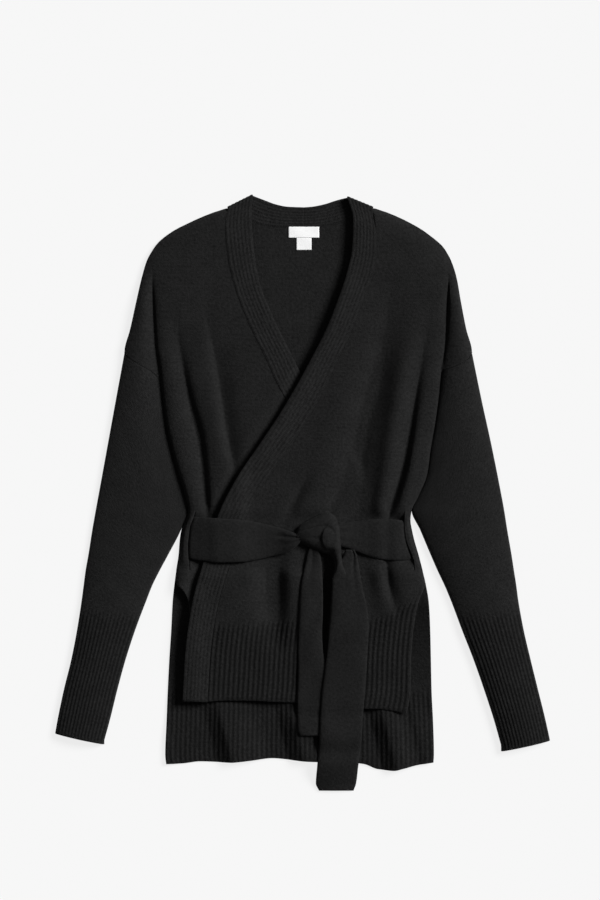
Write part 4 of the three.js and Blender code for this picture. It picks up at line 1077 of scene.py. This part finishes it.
def knot(base, tail_top):
    """A wide turn of belt: from the pinch over the top, down to a twist, into the long tail."""
    rows = np.arange(len(KNOT["outer_x"]))
    fine = np.linspace(0, rows[-1], 170)
    edge = {name: curve(rows, column)(fine)[:, None] for name, column in KNOT.items()}
    t = np.linspace(0, 1, 73)[None, :]
    x = edge["outer_x"] + (edge["inner_x"] - edge["outer_x"]) * t
    y = edge["outer_y"] + (edge["inner_y"] - edge["outer_y"]) * t
    along = (fine / rows[-1])[:, None]
    across = rounded(t, 2.3)
    swell = 0.4 + 0.6 * smooth(along, 0, 0.22)
    sink = smooth(along, 0.68, 1)
    narrow = np.exp(-((along - 0.86) / 0.06) ** 2)
    body = (10.5 * (1 - sink) + 1.0 * sink) * swell + 2.5 * narrow
    lift = base + (tail_top - 1.6 - base) * sink
    split = curve([-70, -62, -54, -47, -38, -28], [30, 25.5, 24.2, 26, 32, 39])(y)
    turned = 3.4 * smooth(x - split, -1.4, 1.4) * (1 - smooth(x - split, 4, 22))
    turned = turned * smooth(y, -74, -66) * (1 - smooth(y, -36, -26))
    turned = turned * (1 - 0.6 * smooth(y, -52, -42))
    pleat = 1.2 * np.exp(-((t - 0.30 - 0.10 * along) / 0.05) ** 2) * smooth(along, 0.05, 0.2)
    pleat = pleat * (1 - smooth(along, 0.42, 0.6))
    low_pleat = 0.9 * np.exp(-((t - 0.66) / 0.05) ** 2) * smooth(along, 0.1, 0.25)
    low_pleat = low_pleat * (1 - smooth(along, 0.3, 0.45))
    high = lift + 1.5 * (1 - sink) + (body + turned - pleat - low_pleat) * across
    low = lift - 3 * across
    return panel("belt_knot_turn", [Patch(x, y, low, high)])


def tag(name, middle_x, top, wide, high):
    """A small woven plate sewn inside the neck."""
    x = np.linspace(middle_x - wide / 2, middle_x + wide / 2, 40)[None, :]
    y = np.linspace(top, top - high, 20)[:, None]
    sag = 0.25 * np.sin(x / 6) * np.sin(y / 5)
    level = CLOTH + 0.5 + sag
    return panel(name, [Patch(x + 0 * y, y + 0 * x, level, level + 0.6)])


# Nodes

def add(tree, kind, inputs=None, **settings):
    """Adds a node; an input takes a value, a socket, or a node for its first output."""
    node = tree.nodes.new(kind)
    for key, value in settings.items():
        setattr(node, key, value)
    for socket, value in (inputs or {}).items():
        if isinstance(value, bpy.types.Node):
            value = value.outputs[0]
        if isinstance(value, bpy.types.NodeSocket):
            tree.links.new(value, node.inputs[socket])
        else:
            node.inputs[socket].default_value = value
    return node


def colour(code):
    """Linear colour of an sRGB hex value."""
    parts = [int(code[i:i + 2], 16) / 255 for i in (1, 3, 5)]
    linear = [c / 12.92 if c <= 0.04045 else ((c + 0.055) / 1.055) ** 2.4 for c in parts]
    return (*linear, 1)


def new_material(name):
    """An empty material and its node tree."""
    material = bpy.data.materials.new(name)
    material.use_nodes = True
    material.node_tree.nodes.clear()
    return material, material.node_tree


def knit(name, dark, pale, wale, course, relief, painted_rib_shade_weight):
    """Knitted yarn: V stitches in wales and courses, with a fuzz of loose fibre, and painted
    shade in the rib valleys.
    """
    material, tree = new_material(name)
    place = add(tree, "ShaderNodeUVMap", uv_map="Cloth")
    wander = add(tree, "ShaderNodeTexNoise", {
        "Vector": place, "Scale": 1 / (7 * MM), "Detail": 1.0})
    strayed = add(tree, "ShaderNodeVectorMath", {
        0: wander.outputs[1], 1: (1.6 * MM,) * 3, 2: place}, operation="MULTIPLY_ADD")
    split = add(tree, "ShaderNodeSeparateXYZ", {0: strayed})
    u = add(tree, "ShaderNodeMath", {0: split.outputs[0], 1: 1 / wale}, operation="MULTIPLY")
    lean = add(tree, "ShaderNodeMath", {0: u, 1: 0.5}, operation="PINGPONG")
    v = add(tree, "ShaderNodeMath", {0: split.outputs[1], 1: 1 / course, 2: lean},
            operation="MULTIPLY_ADD")
    turn = add(tree, "ShaderNodeMath", {0: v, 1: 2 * math.pi}, operation="MULTIPLY")
    leg = add(tree, "ShaderNodeMath", {0: turn}, operation="SINE")
    turn = add(tree, "ShaderNodeMath", {0: lean, 1: 2 * math.pi}, operation="MULTIPLY")
    gap = add(tree, "ShaderNodeMath", {0: turn}, operation="SINE")
    gap = add(tree, "ShaderNodeMath", {0: gap, 1: 0.5}, operation="MULTIPLY")
    stitch = add(tree, "ShaderNodeMath", {0: leg, 1: 0.3, 2: gap}, operation="MULTIPLY_ADD")
    fuzz = add(tree, "ShaderNodeTexNoise", {
        "Vector": place, "Scale": 1 / (3.6 * MM), "Detail": 3.0, "Roughness": 0.75})
    mottle = add(tree, "ShaderNodeTexNoise", {
        "Vector": place, "Scale": 1 / (24 * MM), "Detail": 3.0})
    height = add(tree, "ShaderNodeMath", {0: fuzz, 1: 3.4, 2: stitch}, operation="MULTIPLY_ADD")
    bump = add(tree, "ShaderNodeBump", {"Strength": 0.8, "Distance": relief, "Height": height})
    mottle = add(tree, "ShaderNodeMath", {0: mottle, 1: 0.2}, operation="MULTIPLY")
    yarn = add(tree, "ShaderNodeMath", {0: fuzz, 1: 0.8, 2: mottle}, operation="MULTIPLY_ADD")
    # Painted shade: the yarn's colour is darkened in the valleys of the ribs, by the given
    # weight.
    painted_rib_shade = add(tree, "ShaderNodeAttribute", attribute_name="painted_rib_shade").outputs["Fac"]
    shade = add(tree, "ShaderNodeMath", {0: painted_rib_shade, 1: -painted_rib_shade_weight, 2: yarn},
                operation="MULTIPLY_ADD")
    tone = add(tree, "ShaderNodeValToRGB", {0: shade})
    for stop, position, code in zip(tone.color_ramp.elements, (0.3, 0.7), (dark, pale)):
        stop.position = position
        stop.color = colour(code)
    surface = add(tree, "ShaderNodeBsdfPrincipled", {
        "Base Color": tone, "Roughness": 0.9, "IOR": 1.5, "Specular IOR Level": 0.05,
        "Sheen Weight": 0.02, "Sheen Roughness": 0.5, "Normal": bump})
    add(tree, "ShaderNodeOutputMaterial", {0: surface})
    return material


# Fine wool jersey, plain knitted: matt black with a soft bloom where it turns away.
# Its real wales are 1.8 mm apart and are drawn a third coarser so that they show.
# Painted shade darkens the valleys of its ribs at the hems and cuffs.
jersey = knit("black_wool_jersey", "#141414", "#272727", 2.4 * MM, 1.8 * MM, 0.5 * MM, 0.22)

# The same yarn in rib: its purl valleys are darkened with painted shade. Its stitches are drawn
# coarser too.
rib_knit = knit("black_wool_rib", "#151515", "#2a2a2a", 3.0 * MM, 1.9 * MM, 0.4 * MM, 0.1)

# Double jersey of the belt: closer and smoother, so a little more even. Its wales, really
# 1.5 mm apart, are drawn 2.2 mm apart so that they show.
belt_knit = knit("black_double_jersey", "#141414", "#242424", 2.2 * MM, 1.7 * MM, 0.35 * MM, 0.0)

# Linking yarn of the seams: a twisted thread, slightly smoother than the cloth.
thread, tree = new_material("black_linking_thread")
place = add(tree, "ShaderNodeTexCoord").outputs["Object"]
twist = add(tree, "ShaderNodeTexNoise", {"Vector": place, "Scale": 0.9 / MM})
tone = add(tree, "ShaderNodeValToRGB", {0: twist})
tone.color_ramp.elements[0].color = colour("#0f0f0f")
tone.color_ramp.elements[1].color = colour("#222222")
surface = add(tree, "ShaderNodeBsdfPrincipled", {
    "Base Color": tone, "Roughness": 0.7, "Specular IOR Level": 0.15})
add(tree, "ShaderNodeOutputMaterial", {0: surface})

# Woven polyester label: bright white satin with a cross weave, far finer in the real one
# and drawn at 0.8 mm so that it shows.
woven, tree = new_material("white_woven_label")
place = add(tree, "ShaderNodeUVMap", uv_map="Cloth")
split = add(tree, "ShaderNodeSeparateXYZ", {0: place})
waves = []
for axis in (0, 1):
    turn = add(tree, "ShaderNodeMath", {0: split.outputs[axis], 1: 2 * math.pi / (0.8 * MM)},
               operation="MULTIPLY")
    waves.append(add(tree, "ShaderNodeMath", {0: turn}, operation="SINE"))
weave = add(tree, "ShaderNodeMath", {0: waves[0], 1: waves[1]}, operation="MULTIPLY")
shade = add(tree, "ShaderNodeMath", {0: weave, 1: 0.5, 2: 0.5}, operation="MULTIPLY_ADD")
tone = add(tree, "ShaderNodeValToRGB", {0: shade})
tone.color_ramp.elements[0].color = colour("#f4f4f4")
tone.color_ramp.elements[1].color = colour("#fdfdfd")
bump = add(tree, "ShaderNodeBump", {"Strength": 0.4, "Distance": 0.08 * MM, "Height": weave})
surface = add(tree, "ShaderNodeBsdfPrincipled", {
    "Base Color": tone, "Roughness": 0.45, "Normal": bump})
add(tree, "ShaderNodeOutputMaterial", {0: surface})


def tree_of(name, inputs):
    """An empty geometry tree, and the sockets of its named inputs."""
    tree = bpy.data.node_groups.new(name, "GeometryNodeTree")
    tree.interface.new_socket("Geometry", in_out="OUTPUT", socket_type="NodeSocketGeometry")
    tree.interface.new_socket("Geometry", in_out="INPUT", socket_type="NodeSocketGeometry")
    for label in inputs:
        tree.interface.new_socket(label, in_out="INPUT", socket_type="NodeSocketFloat")
    tree.interface.new_socket("Yarn", in_out="INPUT", socket_type="NodeSocketMaterial")
    return tree, add(tree, "NodeGroupInput").outputs


def close_tree(tree, geometry, yarn):
    """Ends a geometry tree: its instances made real, and the yarn on them."""
    real = add(tree, "GeometryNodeRealizeInstances", {0: geometry})
    dressed = add(tree, "GeometryNodeSetMaterial", {0: real, "Material": yarn})
    add(tree, "NodeGroupOutput", {0: dressed})
    return tree


def rib_tree():
    """Raises the wales of the rib between their purl valleys, along the cloth's own normal."""
    tree, given = tree_of("Raised ribs", ["Rise"])
    phase = add(tree, "GeometryNodeInputNamedAttribute", {0: "rib"}, data_type="FLOAT")
    share = add(tree, "GeometryNodeInputNamedAttribute", {0: "rib_share"}, data_type="FLOAT")
    turn = add(tree, "ShaderNodeMath", {0: phase, 1: 2 * math.pi}, operation="MULTIPLY")
    wave = add(tree, "ShaderNodeMath", {0: turn}, operation="COSINE")
    wave = add(tree, "ShaderNodeMath", {0: wave, 1: -0.5, 2: 0.5}, operation="MULTIPLY_ADD")
    round_top = add(tree, "ShaderNodeMath", {0: wave, 1: 0.7}, operation="POWER")
    raised = add(tree, "ShaderNodeMath", {0: round_top, 1: share}, operation="MULTIPLY")
    lift = add(tree, "ShaderNodeMath", {0: raised, 1: given["Rise"]}, operation="MULTIPLY")
    normal = add(tree, "GeometryNodeInputNormal")
    offset = add(tree, "ShaderNodeVectorMath", {0: normal, "Scale": lift}, operation="SCALE")
    # Painted shade: how deep each point lies in a purl valley, kept for the yarn to darken its
    # colour there.
    painted_valley_shade = add(tree, "ShaderNodeMath", {0: 1.0, 1: round_top}, operation="SUBTRACT")
    painted_valley_shade = add(tree, "ShaderNodeMath", {0: painted_valley_shade, 1: share}, operation="MULTIPLY")
    marked = add(tree, "GeometryNodeStoreNamedAttribute", {
        "Geometry": given["Geometry"], "Name": "painted_rib_shade", "Value": painted_valley_shade},
        data_type="FLOAT", domain="POINT")
    moved = add(tree, "GeometryNodeSetPosition", {"Geometry": marked, "Offset": offset})
    return close_tree(tree, moved, given["Yarn"])


def stitch_tree():
    """Sets one small slanted stitch after another along a seam line."""
    tree, given = tree_of("Linked stitches", ["Pitch", "Length", "Width", "Slant"])
    line = add(tree, "GeometryNodeMeshToCurve", {"Mesh": given["Geometry"]})
    points = add(tree, "GeometryNodeResampleCurve", {
        "Curve": line, "Length": given["Pitch"]}, mode="LENGTH")
    grain = add(tree, "GeometryNodeMeshUVSphere", {"Segments": 6, "Rings": 4, "Radius": 0.5})
    tangent = add(tree, "GeometryNodeInputTangent")
    facing = add(tree, "FunctionNodeAlignRotationToVector", {"Vector": tangent}, axis="X")
    slant = add(tree, "ShaderNodeCombineXYZ", {2: given["Slant"]})
    turned = add(tree, "FunctionNodeRotateRotation", {0: facing, 1: slant},
                 rotation_space="LOCAL")
    size = add(tree, "ShaderNodeCombineXYZ", {
        0: given["Length"], 1: given["Width"], 2: given["Width"]})
    placed = add(tree, "GeometryNodeInstanceOnPoints", {
        "Points": points, "Instance": grain, "Rotation": turned, "Scale": size})
    return close_tree(tree, placed, given["Yarn"])


def run_tree(thing, tree, values):
    """Runs a geometry tree on an object once and keeps its result as a plain mesh."""
    modifier = thing.modifiers.new(tree.name, "NODES")
    modifier.node_group = tree
    for socket in tree.interface.items_tree:
        if socket.in_out == "INPUT" and socket.name in values:
            modifier[socket.identifier] = values[socket.name]
    graph = bpy.context.evaluated_depsgraph_get()
    made = bpy.data.meshes.new_from_object(thing.evaluated_get(graph), depsgraph=graph)
    thing.modifiers.remove(modifier)
    old = thing.data
    thing.data = made
    made.name = thing.name
    bpy.data.meshes.remove(old)
    return thing


raised_ribs = rib_tree()
linked_stitches = stitch_tree()


def finish_cloth(thing, yarn, rise=1.0):
    """Raises the ribs of a piece and gives it its yarn."""
    return run_tree(thing, raised_ribs, {"Rise": rise * MM, "Yarn": yarn})


def seam(name, lines, pitch=2.6, length=2.4, width=0.9, slant=0.5):
    """A row of stitches along each of some lines of (x, y, z) points."""
    edges, base = [], 0
    for line in lines:
        edges += [(base + i, base + i + 1) for i in range(len(line) - 1)]
        base += len(line)
    mesh = bpy.data.meshes.new(name)
    mesh.from_pydata(in_metres(np.concatenate(lines)).tolist(), edges, [])
    return run_tree(in_scene(name, mesh), linked_stitches, {
        "Pitch": pitch * MM, "Length": length * MM, "Width": width * MM, "Slant": slant,
        "Yarn": thread})


def even_curl(y):
    """How far the free edge of the right front's band turns down."""
    return 2.0


def neck_curl(y):
    """The same on the left front's band, which turns down most beside the neck."""
    return 2.0 + 5.0 * smooth(y, 0, 60) * (1 - smooth(y, 230, 300))


def over_short_tail(y):
    """Top of the short tail, where the long one lies on it."""
    on_it = (y < short_y[0]) & (y > short_y[-1] - 5)
    return np.where(on_it, np.interp(-y, -short_y, short_level) + BELT_THICK + 1.6, 0)


# Pieces

back = finish_cloth(back_panel(), jersey, 0.8)
front_under = finish_cloth(right_front(), jersey)
front_over = finish_cloth(left_front(), jersey, 1.2)
sleeves = {-1: finish_cloth(sleeve("right_sleeve", -1, 0), jersey, 0.9),
           1: finish_cloth(sleeve("left_sleeve", 1, 9), jersey, 0.9)}
bands = {-1: finish_cloth(band("right_band", -1, UNDER_BAND, under_level, even_curl),
                          rib_knit, 0.4),
         1: finish_cloth(band("left_band", 1, OVER_BAND, over_level, neck_curl),
                         rib_knit, 0.4)}
run_right = finish_cloth(belt_run("belt_right_run", -1, BELT_RIGHT,
                                  [(0.3, 0.09, 3.0), (0.62, 0.1, 1.6)]), belt_knit)
run_left = finish_cloth(belt_run("belt_left_run", 1, BELT_LEFT,
                                 [(0.35, 0.1, 1.5), (0.7, 0.1, 1.2)]), belt_knit)
short_tail, (short_y, short_level) = tail("belt_short_tail", SHORT_TAIL, lambda y: 0 * y,
                                          [(0.4, 0.14, 0.9)])
long_tail, (long_y, long_level) = tail("belt_long_tail", LONG_TAIL, over_short_tail,
                                       [(0.76, 0.09, 1.8)])
finish_cloth(short_tail, belt_knit)
finish_cloth(long_tail, belt_knit)
under_knot = cloth_under(*np.meshgrid(np.linspace(-6, 47, 20), np.linspace(-83, -24, 20)))
knot_base = float(np.median(under_knot)) + BELT_THICK + 2
tail_top = float(np.interp(-KNOT["inner_y"][-1], -long_y, long_level)) + BELT_THICK + 1.5
turn_over = finish_cloth(knot(knot_base, tail_top), belt_knit)
label = finish_cloth(tag("label_plate", middle_x=1.8, top=341.8, wide=39, high=14), woven)
size_tag = finish_cloth(tag("size_plate", middle_x=2, top=327.6, wide=19, high=15.5), woven)

# Seams

armholes = []
for side in (-1, 1):
    ys = np.linspace(SLEEVE_TOP - 1, 60, 90)
    xs = body_edge(side, ys)
    top = sleeve_level(side, xs, ys) + CLOTH + 0.25 + 0.15 * side
    armholes.append(np.stack([xs, ys, top], 1))
armhole_seams = seam("armhole_seams", armholes, width=0.8)

ys = np.linspace(360, -95, 260)
xs = over_seam(ys)
over_line = np.stack([xs, ys, over_level(xs, ys) + BAND_CLOTH], 1)
ys = np.linspace(360, 140, 130)
xs = under_seam(ys)
under_line = np.stack([xs, ys, under_level(xs, ys) + BAND_CLOTH], 1)
xs = np.linspace(-70, 66, 90)
ys = curve(BACK_NECK["seam_x"], BACK_NECK["seam_y"])(xs) - 0.4
back_line = np.stack([xs, ys, np.full(len(xs), CLOTH + 0.2)], 1)
band_seams = seam("band_seams", [over_line, under_line, back_line], width=0.7)

# What stands for which part

for thing, node, slot in (
        (back, "back", "body_knit"), (front_under, "front_right", "body_knit"),
        (front_over, "front_left", "body_knit"),
        (sleeves[-1], "sleeve_right", "sleeve_knit"), (sleeves[1], "sleeve_left", "sleeve_knit"),
        (bands[-1], "neckband_right", "rib_trim"), (bands[1], "neckband_left", "rib_trim"),
        (run_right, "belt_run_right", "belt_knit"), (run_left, "belt_run_left", "belt_knit"),
        (turn_over, "belt_knot", "belt_knit"), (short_tail, "belt_tail_short", "belt_knit"),
        (long_tail, "belt_tail_long", "belt_knit"), (label, "neck_label", "woven_label"),
        (size_tag, "size_tab", "woven_label")):
    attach(thing, "root")
    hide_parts(node)
for thing in (armhole_seams, band_seams):
    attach(thing, "root")

# Floor, light and camera

FLOOR_REACH, FLOOR_DROP = 40, -0.0005
corners = [(x * FLOOR_REACH, y * FLOOR_REACH, FLOOR_DROP)
           for x, y in ((-1, -1), (1, -1), (1, 1), (-1, 1))]
floor_mesh = bpy.data.meshes.new("floor")
floor_mesh.from_pydata(corners, [], [(0, 1, 2, 3)])
floor = in_scene("floor", floor_mesh)
# Seamless studio paper, lit from all round, so it stays near white with soft shadows.
paper, tree = new_material("pale_studio_paper")
matt = add(tree, "ShaderNodeBsdfDiffuse", {"Color": (0.12, 0.12, 0.12, 1)})
glow = add(tree, "ShaderNodeEmission", {"Color": (1, 1, 1, 1), "Strength": 0.81})
both = add(tree, "ShaderNodeAddShader", {0: matt, 1: glow})
add(tree, "ShaderNodeOutputMaterial", {0: both})
floor_mesh.materials.append(paper)

world = bpy.data.worlds.new("studio")
bpy.context.scene.world = world
world.use_nodes = True
world.node_tree.nodes["Background"].inputs[0].default_value = (1, 1, 1, 1)
world.node_tree.nodes["Background"].inputs[1].default_value = 0.14

sun = bpy.data.lights.new("window", "SUN")
sun.energy = 4.55
sun.angle = math.radians(24)
lamp = in_scene("window", sun)
lamp.rotation_euler = (math.radians(-24), math.radians(50), 0)

# The camera looks straight down from 3 m and sees 1152 mm of floor from top to bottom.
EYE_HEIGHT, VIEW_TALL = 3, 1.152
camera = bpy.data.cameras.new("camera")
camera.sensor_fit = "VERTICAL"
camera.sensor_height = 36
camera.lens = camera.sensor_height * EYE_HEIGHT / VIEW_TALL
eye = in_scene("camera", camera)
eye.location = (*in_metres([-3.2, 56.3, 0])[:2], EYE_HEIGHT)
bpy.context.scene.camera = eye
bpy.context.scene.view_settings.view_transform = "Standard"
